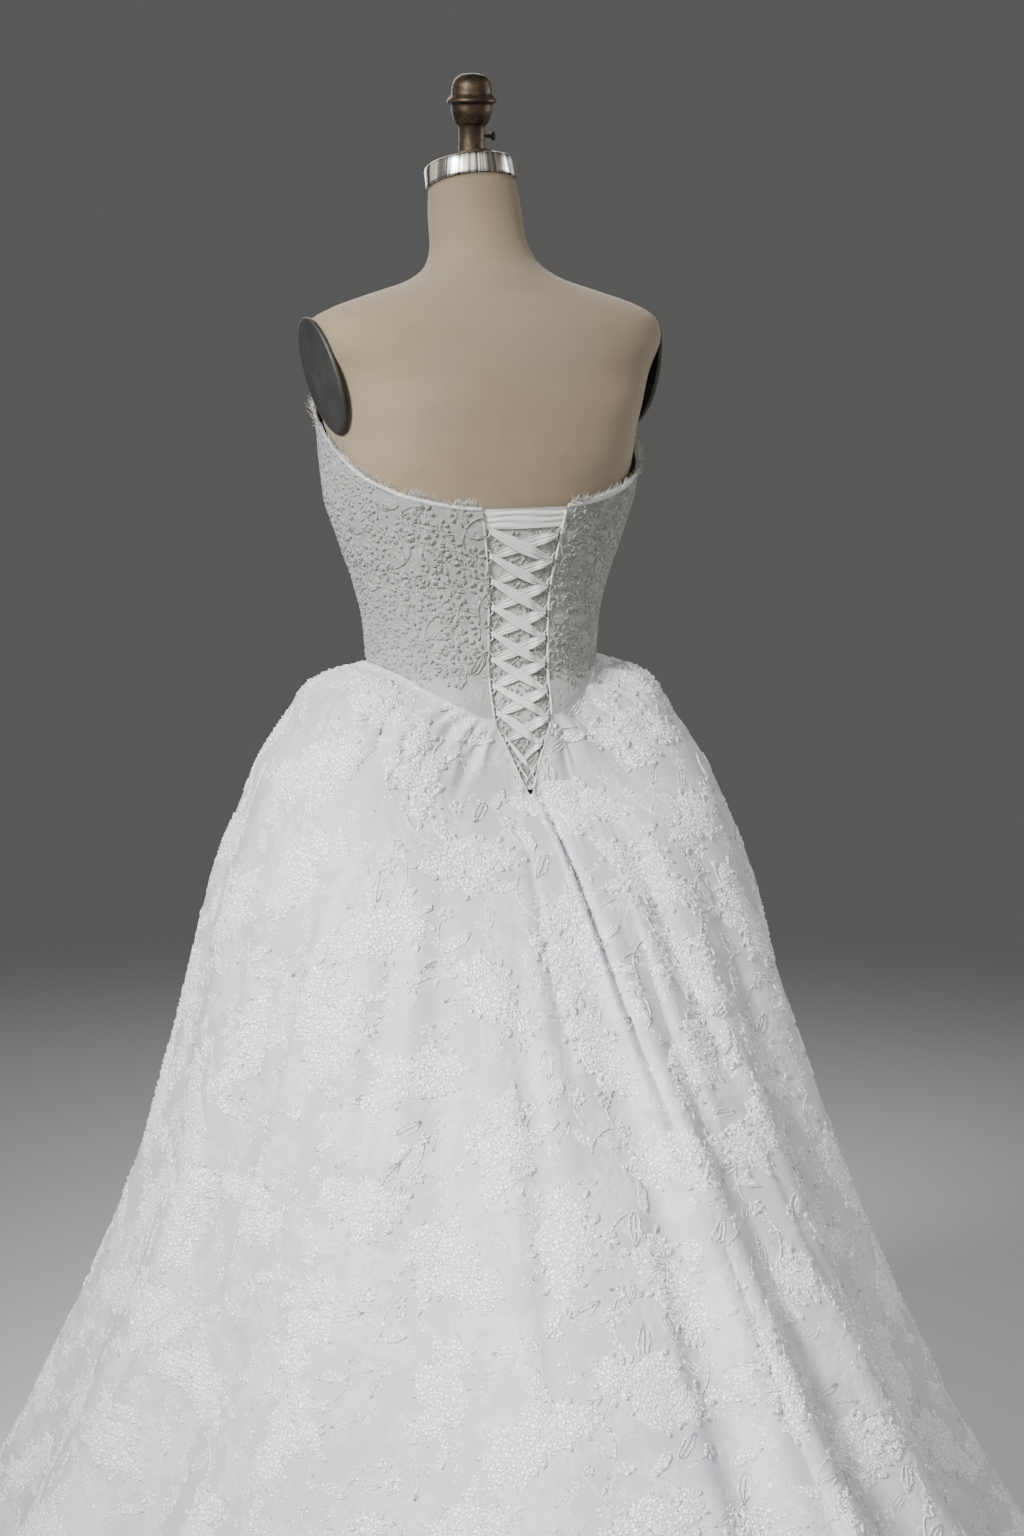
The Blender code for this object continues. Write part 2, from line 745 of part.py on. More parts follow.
def back_depth(x, level):
    """How far back the dress's middle surface lies at a place of the lacing."""
    seam = seam_level(0.0)
    sign = 1.0 if x >= 0.0 else -1.0
    target = abs(x)
    if level >= seam:
        low = 0.0
        high = 60.0
        for _ in range(30):
            mid = 0.5 * (low + high)
            if bodice_point(mid, level)[0] < target:
                low = mid
            else:
                high = mid
        return bodice_point(0.5 * (low + high) * sign, level)[1]

    def share_at(angle):
        a = 0.0
        b = 0.30
        for _ in range(30):
            m = 0.5 * (a + b)
            if skirt_base(angle, m)[2] > level:
                a = m
            else:
                b = m
        return 0.5 * (a + b)

    low = 0.0
    high = 45.0
    for _ in range(24):
        mid = 0.5 * (low + high)
        if skirt_base(mid, share_at(mid))[0] < target:
            low = mid
        else:
            high = mid
    angle = 0.5 * (low + high)
    return skirt_base(angle, share_at(angle))[1]


def add_modesty(collection):
    """Lace panel behind the lacing, and the pleated satin band across its top."""

    def panel(u, v):
        level = PANEL_LOW + (PANEL_TOP - PANEL_LOW) * v
        half = gap_half(level) + PANEL_UNDER
        x = half * (1.0 - 2.0 * u)
        return np.array((x, back_depth(x, level) - PANEL_SINK, level))

    look = ((0.80, 0.79, 0.77), 0.6)
    trims = (0.0, 0.0, 0.0, 0.0)
    outer, inner = sheet_grids(panel, shares(5), shares(15), PANEL_WALL, trims, True)
    verts, faces = closed_wall(outer, inner)
    add_mesh(collection, "modesty_panel", verts, faces, look)

    def band(u, v):
        level = BAND_LOW + (BAND_TOP - BAND_LOW) * v
        half = gap_half(level) + BAND_UNDER
        x = half * (1.0 - 2.0 * u)
        lap = (v * BAND_PLEATS) % 1.0 if v < 1.0 else 0.0
        depth = -BAND_SINK + PLEAT_RISE * lap
        return np.array((x, back_depth(x, level) + depth, level))

    look = ((0.90, 0.89, 0.87), 0.35)
    vs = []
    for k in range(BAND_PLEATS):
        vs.append(k / BAND_PLEATS + (0.0 if k == 0 else 0.03))
        vs.append((k + 0.97) / BAND_PLEATS)
    vs.append(1.0)
    outer = []
    inner = []
    for v in vs:
        row_out = []
        row_in = []
        for u in shares(7):
            mid = band(u, v)
            row_out.append(mid + np.array((0.0, BAND_WALL * 0.5, 0.0)))
            row_in.append(mid - np.array((0.0, BAND_WALL * 0.5, 0.0)))
        outer.append(row_out)
        inner.append(row_in)
    verts, faces = closed_wall(outer, inner)
    add_mesh(collection, "modesty_top_band", verts, faces, look)


def lace_place(side, inset, level):
    """Point beside the lacing edge, inset into the gap."""
    x = side * max(0.0, gap_half(level) - inset)
    return np.array((x, back_depth(x, level), level))


def back_slope(x, level):
    """Upward direction along the back at a place of the lacing."""
    high = back_depth(x, level + 0.006)
    low = back_depth(x, level - 0.006)
    up = np.array((0.0, (high - low) / 0.012, 1.0))
    return up / np.linalg.norm(up)


def sweep(path, half_up, half_thick, ups):
    """Closed strip of rectangular section along a path, its width along the given ups."""
    rings = []
    for k, point in enumerate(path):
        back = path[max(0, k - 1)]
        ahead = path[min(len(path) - 1, k + 1)]
        way = ahead - back
        way = way / np.linalg.norm(way)
        up = ups[k]
        out = np.cross(way, up)
        out = out / np.linalg.norm(out)
        hu = half_up[k]
        ring = (
            point + up * hu + out * half_thick,
            point - up * hu + out * half_thick,
            point - up * hu - out * half_thick,
            point + up * hu - out * half_thick,
        )
        rings.append(ring)
    return tube_between_rings(rings)


def add_cord(collection, name, path, radius, look):
    """Cord along a path, with closed ends."""
    data = bpy.data.curves.new(name, "CURVE")
    data.dimensions = "3D"
    data.bevel_depth = radius
    data.bevel_resolution = 0
    data.use_fill_caps = True
    spline = data.splines.new("POLY")
    spline.points.add(len(path) - 1)
    for point, place in zip(spline.points, path):
        point.co = (*place, 1.0)
    data.materials.append(paint(name + "_look", *look))
    item = bpy.data.objects.new(name, data)
    collection.objects.link(item)
    weld = item.modifiers.new("weld", "WELD")
    weld.merge_threshold = MERGE
    return item


def add_loops(collection):
    """On each side of the lacing, one cord that stands out from the edge in loops."""
    look = ((0.88, 0.87, 0.85), 0.5)
    shape = (
        (-LOOP_HALF - 0.0012, CORD_CLEAR),
        (-LOOP_HALF + 0.0012, CORD_CLEAR + 0.0022),
        (-LOOP_STRAIGHT, LOOP_OUT),
        (LOOP_STRAIGHT, LOOP_OUT),
        (LOOP_HALF - 0.0012, CORD_CLEAR + 0.0022),
        (LOOP_HALF + 0.0012, CORD_CLEAR),
    )
    for name, side in (("loops_left", 1.0), ("loops_right", -1.0)):
        path = []
        for k in range(LOOP_COUNT):
            middle = loop_middle(side, k)
            tip = side * (gap_half(middle) - LOOP_OUT)
            for down, inset in shape:
                level = middle - down
                if inset == LOOP_OUT:
                    path.append(np.array((tip, back_depth(tip, level), level)))
                else:
                    path.append(lace_place(side, inset, level))
        add_cord(collection, name, path, CORD, look)


def loop_middle(side, k):
    first = LOOP_FIRST_LEFT if side > 0.0 else LOOP_FIRST_RIGHT
    return first - LOOP_PITCH * k


def add_ribbons(collection):
    """Two ribbons crossing between the loops, in turn over and under one another."""
    look = ((0.93, 0.92, 0.90), 0.3)
    outer = RIBBON_TURN
    marks = (
        (0.00, 1), (0.09, 1), (0.18, 1), (0.27, 0), (0.50, 0), (0.73, 0), (0.82, -1), (0.91, -1),
        (1.00, -1),
    )
    for name, start_side, turn in (("ribbon_a", 1.0, 0), ("ribbon_b", -1.0, 1)):
        path = []
        half_up = []
        ups = []
        side = start_side
        for k in range(LOOP_COUNT - 1):
            z0 = loop_middle(side, k)
            z1 = loop_middle(-side, k + 1)
            x0 = side * (gap_half(z0) - LOOP_OUT)
            x1 = -side * (gap_half(z1) - LOOP_OUT)
            over = (k + turn) % 2 == 0
            fit = min(1.0, 0.5 * (gap_half(z0) + gap_half(z1)) / 0.031)
            for share, stage in marks:
                level = z0 + (z1 - z0) * share
                x = x0 + (x1 - x0) * share
                if stage == 1:
                    out = outer
                elif stage == -1:
                    out = -outer
                else:
                    out = 0.0012 if over else -0.0012
                path.append(np.array((x, back_depth(x, level) + out, level)))
                bulge = RIBBON_BULGE * math.sin(math.pi * share) ** 2
                half_up.append((RIBBON_EDGE_HALF + bulge) * fit)
                ups.append(back_slope(x, level))
            if k < LOOP_COUNT - 2:
                x_tip = x1
                level = z1
                for turn_angle in (-60.0, 0.0, 60.0):
                    rad = math.radians(turn_angle)
                    x = x_tip - side * outer * math.cos(rad)
                    y = back_depth(x_tip, level) + outer * math.sin(rad)
                    path.append(np.array((x, y, level)))
                    half_up.append(RIBBON_EDGE_HALF * fit)
                    ups.append(back_slope(x_tip, level))
            side = -side
        verts, faces = sweep(path, half_up, RIBBON_WALL * 0.5, ups)
        add_mesh(collection, name, verts, faces, look)


# Form and stand

def add_form(collection):
    look = ((0.55, 0.50, 0.42), 0.85)
    levels = [row[0] for row in FORM_ROWS]
    extra = []
    for low, high in ((1.165, 1.215), (1.215, 1.265), (1.265, 1.310), (1.310, 1.350)):
        extra.append(0.5 * (low + high))
    levels = sorted(levels + extra)
    count = 28
    rings = []
    for level in levels:
        rings.append([form_point(360.0 * k / count, level, -FORM_SHRINK) for k in range(count)])
    foot = []
    for k in range(count):
        p = form_point(360.0 * k / count, levels[0])
        foot.append(np.array((p[0] * 0.93, 0.02 + (p[1] - 0.02) * 0.93, FORM_FOOT - FOOT_DROP)))
    rings.insert(0, foot)
    verts, faces = tube_between_rings(rings)
    add_mesh(collection, "form_torso", verts, faces, look)


def add_turned(collection, name, rows, steps, look):
    """Body turned round its Z axis from rows of radius and level, from the top down."""
    mesh = bpy.data.meshes.new(name)
    verts = [(radius, 0.0, level) for radius, level in rows]
    mesh.from_pydata(verts, [(k, k + 1) for k in range(len(verts) - 1)], [])
    mesh.materials.append(paint(name + "_look", *look))
    item = bpy.data.objects.new(name, mesh)
    collection.objects.link(item)
    turn = item.modifiers.new("turn", "SCREW")
    turn.axis = "Z"
    turn.steps = steps
    turn.render_steps = steps
    turn.use_merge_vertices = True
    turn.merge_threshold = MERGE
    turn.use_smooth_shade = True
    return item


def work_in_modifiers(item):
    """Give an object the mesh that its modifiers make, to be shaped further."""
    graph = bpy.context.evaluated_depsgraph_get()
    mesh = bpy.data.meshes.new_from_object(item.evaluated_get(graph))
    item.modifiers.clear()
    item.data = mesh
    return mesh


def add_cylinder(collection, name, radius, depth, sides):
    """Cylinder along Z round its object's origin."""
    mesh = bpy.data.meshes.new(name)
    work = bmesh.new()
    bmesh.ops.create_cone(
        work, cap_ends=True, segments=sides, radius1=radius, radius2=radius, depth=depth
    )
    work.to_mesh(mesh)
    work.free()
    item = bpy.data.objects.new(name, mesh)
    collection.objects.link(item)
    return item


def chamfer_rims(item, width):
    bevel = item.modifiers.new("rims", "BEVEL")
    bevel.width = width
    bevel.segments = 1
    bevel.limit_method = "ANGLE"
    bevel.angle_limit = math.radians(40.0)


def add_cap(collection):
    """Bright neck cap, leaning forward with the neck."""
    look = ((0.62, 0.62, 0.63), 0.12, 1.0)
    rows = (
        (0.0, CAP_H),
        (CAP_R - CAP_EDGE, CAP_H),
        (CAP_R - 0.3 * CAP_EDGE, CAP_H - 0.3 * CAP_EDGE),
        (CAP_R, CAP_H - CAP_EDGE),
        (CAP_R, 0.5 * CAP_EDGE),
        (CAP_R - 0.5 * CAP_EDGE, 0.0),
        (0.0, 0.0),
    )
    cap = add_turned(collection, "neck_cap", rows, 30, look)
    cap.location = (0.0, 0.0, CAP_LEVEL)
    cap.rotation_euler = (math.atan(CAP_LEAN), 0.0, 0.0)


def add_finial(collection):
    """Turned finial, its foot lying flat on the leaning cap."""
    finial = add_turned(collection, "finial", FINIAL_ROWS, 22, ((0.10, 0.075, 0.055), 0.5, 0.8))
    for vertex in work_in_modifiers(finial).vertices:
        if vertex.co.z < FINIAL_FOOT:
            vertex.co.z += CAP_LEAN * vertex.co.y
    return finial


def add_screw(collection):
    """Thumb screw through the finial's stem; it turns on its own Z axis, which lies along X."""
    rows = (
        (0.0, SCREW_LONG),
        (SCREW_R, SCREW_LONG),
        (SCREW_R, SCREW_HEAD_H + 0.0004),
        (SCREW_HEAD_R - 0.0006, SCREW_HEAD_H),
        (SCREW_HEAD_R, SCREW_HEAD_H - 0.0006),
        (SCREW_HEAD_R, 0.0006),
        (SCREW_HEAD_R - 0.0006, 0.0),
        (0.0, 0.0),
    )
    screw = add_turned(collection, "thumb_screw", rows, 14, ((0.08, 0.065, 0.05), 0.45, 0.9))
    for vertex in work_in_modifiers(screw).vertices:
        if vertex.co.z <= SCREW_HEAD_H:
            vertex.co.y *= SCREW_HEAD_FLAT
    screw.location = (-SCREW_OUT, 0.0, SCREW_Z)
    screw.rotation_euler = (0.0, math.radians(90.0), 0.0)


def cut_screw_hole(finial):
    cutters = bpy.data.collections.new("cutters")
    bpy.context.scene.collection.children.link(cutters)
    cutter = add_cylinder(cutters, "screw_hole", SCREW_HOLE, HOLE_DEPTH, 14)
    cutter.location = (HOLE_FROM + 0.5 * HOLE_DEPTH, 0.0, SCREW_Z)
    cutter.rotation_euler = (0.0, math.radians(90.0), 0.0)
    cutter.hide_render = True
    cutter.display_type = "WIRE"
    hole = finial.modifiers.new("screw_hole", "BOOLEAN")
    hole.operation = "DIFFERENCE"
    hole.solver = "EXACT"
    hole.object = cutter


def add_plates(collection):
    """Oval plates that close the armholes, flat on the slanting cuts."""
    look = ((0.09, 0.085, 0.085), 0.35, 0.9)
    slant = math.atan(ARM_CUT_SLOPE)
    cut_x = ARM_CUT_X + ARM_CUT_SLOPE * (PLATE_Z - ARM_CUT_Z) - FORM_SHRINK
    for name, side in (("arm_plate_left", 1.0), ("arm_plate_right", -1.0)):
        plate = add_cylinder(collection, name, 1.0, PLATE_WALL, 22)
        plate.data.materials.append(paint(name + "_look", *look))
        lean = Matrix.Rotation(math.radians(PLATE_TURN) * side, 4, "Z")
        long_half = PLATE_HALF_Z / math.cos(slant)
        plate.data.transform(lean @ Matrix.Diagonal((long_half, PLATE_HALF_Y, 1.0, 1.0)))
        chamfer_rims(plate, PLATE_CHAMFER)
        out = PLATE_GAP + 0.5 * PLATE_WALL / math.cos(slant)
        plate.location = (side * (cut_x + out), PLATE_Y, PLATE_Z)
        plate.rotation_euler = (0.0, side * (0.5 * math.pi + slant), 0.0)


def add_stand(collection):
    steel = ((0.10, 0.10, 0.10), 0.4, 0.8)
    iron = ((0.05, 0.05, 0.05), 0.6, 0.4)
    low = BASE_TOP + SEAT_GAP
    high = FORM_FOOT - FOOT_DROP - SEAT_GAP
    pole = add_cylinder(collection, "pole", POLE_R, high - low, 18)
    pole.location = (0.0, 0.0, 0.5 * (low + high))
    pole.data.materials.append(paint("pole_look", *steel))
    chamfer_rims(pole, POLE_CHAMFER)
    rows = (
        (0.0, BASE_TOP),
        (0.021, BASE_TOP),
        (0.025, BASE_TOP - 0.003),
        (0.030, BASE_TOP - 0.010),
        (0.060, 0.0165),
        (BASE_R - 0.020, 0.0120),
        (BASE_R - 0.004, 0.0090),
        (BASE_R, 0.0055),
        (BASE_R, 0.0),
        (0.0, 0.0),
    )
    add_turned(collection, "stand_base", rows, 28, iron)


def build():
    clear_scene()
    collection = bpy.data.collections.new(COLLECTION)
    bpy.context.scene.collection.children.link(collection)
    add_form(collection)
    add_cap(collection)
    cut_screw_hole(add_finial(collection))
    add_screw(collection)
    add_plates(collection)
    add_stand(collection)
    add_bodice(collection)
    add_top_edges(collection)
    add_modesty(collection)
    add_loops(collection)
    add_ribbons(collection)
    add_skirt(collection)


build()
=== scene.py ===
# Looks of the wedding dress on its dress form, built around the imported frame.
# Metres, +Z up, in the frame's own axes: the wearer faces -Y, the laced back is at +Y.
# Angles round the body run from 0 at the centre back to 90 at the wearer's left side.
import math
import random

import bpy
import numpy as np
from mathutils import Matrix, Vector


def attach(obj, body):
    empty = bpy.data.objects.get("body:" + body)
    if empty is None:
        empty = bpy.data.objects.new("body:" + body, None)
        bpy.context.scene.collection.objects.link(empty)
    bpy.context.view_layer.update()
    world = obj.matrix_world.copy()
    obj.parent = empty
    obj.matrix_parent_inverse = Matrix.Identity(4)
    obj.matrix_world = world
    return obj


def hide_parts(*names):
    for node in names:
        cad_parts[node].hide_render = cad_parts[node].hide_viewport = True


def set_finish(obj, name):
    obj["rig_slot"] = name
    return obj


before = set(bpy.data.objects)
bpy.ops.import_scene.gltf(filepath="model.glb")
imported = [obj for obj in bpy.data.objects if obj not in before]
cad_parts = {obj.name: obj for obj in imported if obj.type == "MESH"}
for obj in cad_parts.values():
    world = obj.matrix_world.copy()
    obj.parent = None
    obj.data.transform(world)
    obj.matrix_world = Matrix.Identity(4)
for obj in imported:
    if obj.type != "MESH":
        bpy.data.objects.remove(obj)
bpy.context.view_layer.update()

DRESS = "dress_and_form"
SCREW = "thumb_screw"

# Camera: the photograph's, from behind on the wearer's left
IMAGE_WIDTH = 1024
IMAGE_HEIGHT = 1536
FOCAL_PIXELS = 3000.0
SENSOR = 36.0
CAMERA_AZIMUTH = 156.5
CAMERA_DISTANCE = 3.16
CAMERA_HEIGHT = 1.52
CAMERA_PITCH = -10.0
POLE_COLUMN = 472.0       # image column of the pole's axis
STUDIO_GREY = (0.105, 0.104, 0.100)
FLOOR_RADIUS = 7.0
FLOOR_SIDES = 96
FLOOR_LEVEL = -0.0006     # just under the stand and the hem
SKIRT_MIDDLE = (0.0, 0.34, 0.56)
DRESS_MIDDLE = (0.0, 0.10, 0.75)
SHOULDERS = (0.0, 0.05, 1.42)
# Lights: name, place ahead of the camera's view, to its right and above the floor, target,
# width and height, watts, spread in degrees, colour
LIGHT_ROWS = (
    ("key_high", -2.0, -1.5, 2.6, SKIRT_MIDDLE, (0.7, 0.7), 31.0, 58.0, (0.985, 0.99, 1.0)),
    ("low_front", -2.6, 1.3, 0.75, SKIRT_MIDDLE, (1.2, 0.6), 3.0, 44.0, (0.97, 0.985, 1.0)),
    ("top_soft", -1.9, 0.5, 2.8, SHOULDERS, (1.8, 1.2), 3.5, 100.0, (1.0, 0.97, 0.92)),
    ("front_soft", 3.0, -0.6, 2.3, DRESS_MIDDLE, (2.2, 2.2), 46.0, 150.0, (1.0, 1.0, 1.0)),
    ("side_left", 1.0, -3.2, 1.9, DRESS_MIDDLE, (1.6, 1.8), 5.0, 120.0, (1.0, 1.0, 1.0)),
    ("side_right", 1.0, 3.2, 1.9, DRESS_MIDDLE, (1.6, 1.8), 22.0, 120.0, (1.0, 1.0, 1.0)),
)

# Cloth
UPPER_SHARE = 0.12        # down to this share the skirt still follows the bodice
GROUND_LEVEL = 0.16       # folds flatten out below this level
BODICE_LIFT = 0.0048      # middle of the bodice's wall above the figure
PANEL_SINK = 0.0035       # modesty panel behind the dress's middle surface
FORM_SHRINK = 0.0012      # linen below the figure that the bodice is fitted to
OUTER = 0.00075           # outer face of a wall above its middle

# Figure: level, half width, depth in front, depth behind, centre, squareness, forward lean
FORM_ROWS = (
    (0.845, 0.150, 0.092, 0.104, 0.020, 0.04, 0.0),
    (0.865, 0.163, 0.103, 0.115, 0.020, 0.04, 0.0),
    (0.900, 0.170, 0.110, 0.122, 0.020, 0.04, 0.0),
    (0.950, 0.164, 0.109, 0.119, 0.020, 0.04, 0.0),
    (1.000, 0.144, 0.101, 0.110, 0.021, 0.04, 0.0),
    (1.045, 0.125, 0.094, 0.104, 0.021, 0.04, 0.0),
    (1.085, 0.1175, 0.090, 0.094, 0.021, 0.04, 0.0),
    (1.125, 0.1205, 0.091, 0.094, 0.021, 0.04, 0.0),
    (1.165, 0.1295, 0.094, 0.097, 0.020, 0.05, 0.0),
    (1.215, 0.1470, 0.100, 0.106, 0.020, 0.06, 0.0),
    (1.265, 0.1610, 0.107, 0.115, 0.019, 0.09, 0.0),
    (1.310, 0.1620, 0.107, 0.119, 0.019, 0.18, 0.0),
    (1.350, 0.1700, 0.100, 0.118, 0.020, 0.20, 0.0),
    (1.390, 0.1860, 0.092, 0.111, 0.024, 0.11, 0.0),
    (1.420, 0.1980, 0.078, 0.099, 0.029, 0.12, 0.0),
    (1.438, 0.1920, 0.067, 0.088, 0.033, 0.12, 0.0),
    (1.452, 0.1680, 0.060, 0.078, 0.034, 0.10, 0.02),
    (1.466, 0.1250, 0.056, 0.069, 0.032, 0.06, 0.04),
    (1.480, 0.0800, 0.054, 0.063, 0.028, 0.02, 0.08),
    (1.496, 0.0590, 0.052, 0.055, 0.022, 0.00, 0.13),
    (1.520, 0.0505, 0.049, 0.051, 0.013, 0.00, 0.20),
    (1.550, 0.0495, 0.046, 0.047, 0.005, 0.00, 0.27),
    (1.5740, 0.0465, 0.0455, 0.0455, 0.000, 0.00, 0.30),
)
# Rounded additions to the figure: angle, level, width round, width up, height
FORM_SWELLS = (
    (147.0, 1.285, 21.0, 0.052, 0.034),
    (213.0, 1.285, 21.0, 0.052, 0.034),
    (38.0, 1.345, 24.0, 0.060, 0.004),
    (322.0, 1.345, 24.0, 0.060, 0.004),
    (33.0, 0.915, 24.0, 0.050, 0.006),
    (327.0, 0.915, 24.0, 0.050, 0.006),
)
ARM_CUT_X = 0.176
ARM_CUT_Z = 1.380
ARM_CUT_SLOPE = 0.24
ARM_CUT_LOW = 1.318
PLATE_HALF_Y = 0.047
PLATE_HALF_Z = 0.0585
PLATE_Y = 0.031
PLATE_Z = 1.384
PLATE_SIDES = 72
FORM_LOW = 0.845
FORM_TOP = 1.574
FORM_COLUMNS = 144
PIN_ANGLE = -22.0
PIN_LEVEL = 1.262

# Neck cap, finial and thumb screw
CAP_R = 0.0474
CAP_H = 0.0222
CAP_LEAN = 0.30
CAP_LEVEL = 1.5746
FINIAL_ROWS = (           # radius, level, lean; from the top down
    (0.0, 1.6880, 0.0),
    (0.0075, 1.6874, 0.0),
    (0.0140, 1.6850, 0.0),
    (0.0185, 1.6800, 0.0),
    (0.0206, 1.6730, 0.0),
    (0.0215, 1.6660, 0.0),
    (0.0252, 1.6610, 0.0),
    (0.0250, 1.6575, 0.0),
    (0.0215, 1.6565, 0.0),
    (0.0208, 1.6480, 0.0),
    (0.0168, 1.6375, 0.0),
    (0.0138, 1.6335, 0.0),
    (0.0136, 1.6180, 0.0),
    (0.0150, 1.6045, CAP_LEAN),
    (0.0255, 1.6038, CAP_LEAN),
    (0.0268, 1.6024, CAP_LEAN),
    (0.0268, 1.5990, CAP_LEAN),
    (0.0260, 1.5982, CAP_LEAN),
    (0.0, 1.5982, CAP_LEAN),
)
SCREW_Z = 1.6250
SCREW_R = 0.0020
SCREW_OUT = 0.0262

# Edges of the bodice: angle from the back, level
TOP_ROWS = (
    (0.0, 1.2505),
    (20.0, 1.2530),
    (45.0, 1.2660),
    (66.0, 1.2860),
    (90.0, 1.3160),
    (114.0, 1.3420),
    (135.0, 1.3560),
    (152.0, 1.3540),
    (168.0, 1.3300),
    (180.0, 1.3120),
)
SEAM_ROWS = (
    (0.0, 1.0370),
    (16.0, 1.0375),
    (28.0, 1.0480),
    (45.0, 1.0640),
    (66.0, 1.0800),
    (90.0, 1.0860),
    (135.0, 1.0800),
    (180.0, 1.0740),
)
GAP_ROWS = (              # level, half width of the lacing gap
    (0.9575, 0.0),
    (0.9700, 0.0072),
    (0.9850, 0.0127),
    (1.0060, 0.0210),
    (1.0370, 0.0325),
    (1.0580, 0.0335),
    (1.1000, 0.0335),
    (1.1540, 0.0340),
    (1.2070, 0.0400),
    (1.2490, 0.0470),
    (1.2700, 0.0500),
)
BODICE_SEAMS = (42.0, 92.0, 146.0)

# Skirt: share, half width, side level, centre y, front depth, front level,
# fullness behind, centre back depth, back level
SKIRT_ROWS = (
    (0.000, 0.1225, 1.0860, 0.021, 0.0950, 1.0740, 0.1165, 0.1165, 1.0370),
    (0.004, 0.1228, 1.0832, 0.021, 0.0953, 1.0712, 0.1167, 0.1163, 1.0342),
    (0.013, 0.1310, 1.0798, 0.021, 0.1030, 1.0676, 0.1190, 0.1160, 1.0285),
    (0.030, 0.1620, 1.0730, 0.021, 0.1320, 1.0600, 0.1300, 0.1160, 1.0170),
    (0.055, 0.1900, 1.0570, 0.021, 0.1660, 1.0450, 0.1480, 0.1170, 0.9990),
    (0.085, 0.2090, 1.0250, 0.021, 0.1920, 1.0140, 0.1740, 0.1200, 0.9780),
    (0.120, 0.2380, 0.9800, 0.021, 0.2220, 0.9700, 0.2100, 0.1270, 0.9575),
    (0.165, 0.2610, 0.9260, 0.021, 0.2470, 0.9180, 0.2450, 0.1680, 0.9200),
    (0.220, 0.2870, 0.8600, 0.022, 0.2720, 0.8540, 0.2720, 0.2140, 0.8650),
    (0.290, 0.3080, 0.7780, 0.022, 0.2950, 0.7730, 0.3110, 0.2680, 0.7880),
    (0.370, 0.3290, 0.6880, 0.023, 0.3180, 0.6840, 0.3580, 0.3300, 0.6990),
    (0.455, 0.3540, 0.5900, 0.024, 0.3460, 0.5870, 0.4100, 0.3980, 0.6030),
    (0.545, 0.3880, 0.4890, 0.025, 0.3800, 0.4860, 0.4540, 0.4700, 0.5010),
    (0.635, 0.4320, 0.3900, 0.026, 0.4200, 0.3880, 0.4880, 0.5480, 0.4000),
    (0.725, 0.4800, 0.2900, 0.027, 0.4620, 0.2890, 0.5220, 0.6380, 0.2990),
    (0.805, 0.5290, 0.2000, 0.028, 0.5000, 0.1990, 0.5900, 0.7350, 0.2050),
    (0.870, 0.5750, 0.1300, 0.029, 0.5320, 0.1290, 0.6550, 0.8380, 0.1220),
    (0.920, 0.6150, 0.0760, 0.030, 0.5580, 0.0760, 0.7100, 0.9380, 0.0620),
    (0.962, 0.6480, 0.0330, 0.031, 0.5800, 0.0330, 0.7500, 1.0380, 0.0220),
    (1.000, 0.6800, 0.0010, 0.032, 0.6000, 0.0010, 0.7900, 1.1300, 0.0010),
)
TRAIN_POWER = 3.0
# Large folds: angle at the waist, at mid height, at the hem; reach to the side before it and
# after it at the hem, in degrees; height at mid length and at the hem; share where it begins
FOLD_ROWS = (
    (-1.0, -9.5, -12.0, 7.0, 4.5, -0.028, -0.055, 0.125),
    (3.5, -3.0, -4.5, 4.5, 7.0, 0.014, 0.030, 0.140),
    (13.0, 20.5, 23.0, 6.0, 6.0, -0.007, -0.014, 0.120),
    (20.0, 34.0, 38.0, 9.0, 8.0, 0.008, 0.018, 0.120),
    (26.0, 47.0, 57.0, 7.0, 7.0, -0.012, -0.022, 0.120),
    (47.0, 68.0, 72.0, 7.0, 6.0, 0.015, 0.026, 0.100),
    (61.0, 80.0, 84.0, 6.0, 7.0, -0.012, -0.024, 0.100),
    (82.0, 94.0, 97.0, 8.0, 8.0, 0.008, 0.018, 0.140),
    (100.0, 107.0, 110.0, 7.0, 7.0, -0.008, -0.018, 0.140),
    (118.0, 122.0, 124.0, 8.0, 8.0, 0.007, 0.016, 0.160),
    (134.0, 137.0, 138.0, 8.0, 8.0, -0.008, -0.018, 0.140),
    (153.0, 154.0, 155.0, 9.0, 9.0, 0.008, 0.016, 0.160),
    (171.0, 171.0, 171.0, 8.0, 8.0, -0.009, -0.019, 0.120),
    (189.0, 189.0, 188.0, 9.0, 9.0, 0.008, 0.016, 0.160),
    (207.0, 206.0, 205.0, 8.0, 8.0, -0.008, -0.018, 0.140),
    (225.0, 223.0, 222.0, 9.0, 9.0, 0.007, 0.016, 0.160),
    (242.0, 239.0, 238.0, 8.0, 8.0, -0.008, -0.019, 0.140),
    (260.0, 257.0, 255.0, 9.0, 9.0, 0.008, 0.018, 0.160),
    (277.0, 274.0, 272.0, 7.0, 7.0, -0.008, -0.020, 0.140),
    (294.0, 291.0, 288.0, 8.0, 8.0, 0.009, 0.020, 0.120),
    (309.0, 306.0, 302.0, 7.0, 7.0, -0.010, -0.022, 0.120),
    (325.0, 320.0, 314.0, 7.0, 7.0, 0.012, 0.024, 0.100),
    (341.0, 333.5, 326.5, 7.0, 5.5, -0.014, -0.030, 0.110),
    (350.0, 342.5, 338.0, 5.5, 6.0, 0.010, 0.022, 0.140),
)
GORES = (                 # name, first and last angle
    ("skirt_back_left", 0.0, 26.0),
    ("skirt_side_back_left", 26.0, 74.0),
    ("skirt_side_front_left", 74.0, 132.0),
    ("skirt_front", 132.0, 228.0),
    ("skirt_side_front_right", 228.0, 286.0),
    ("skirt_side_back_right", 286.0, 334.0),
    ("skirt_back_right", 334.0, 360.0),
)
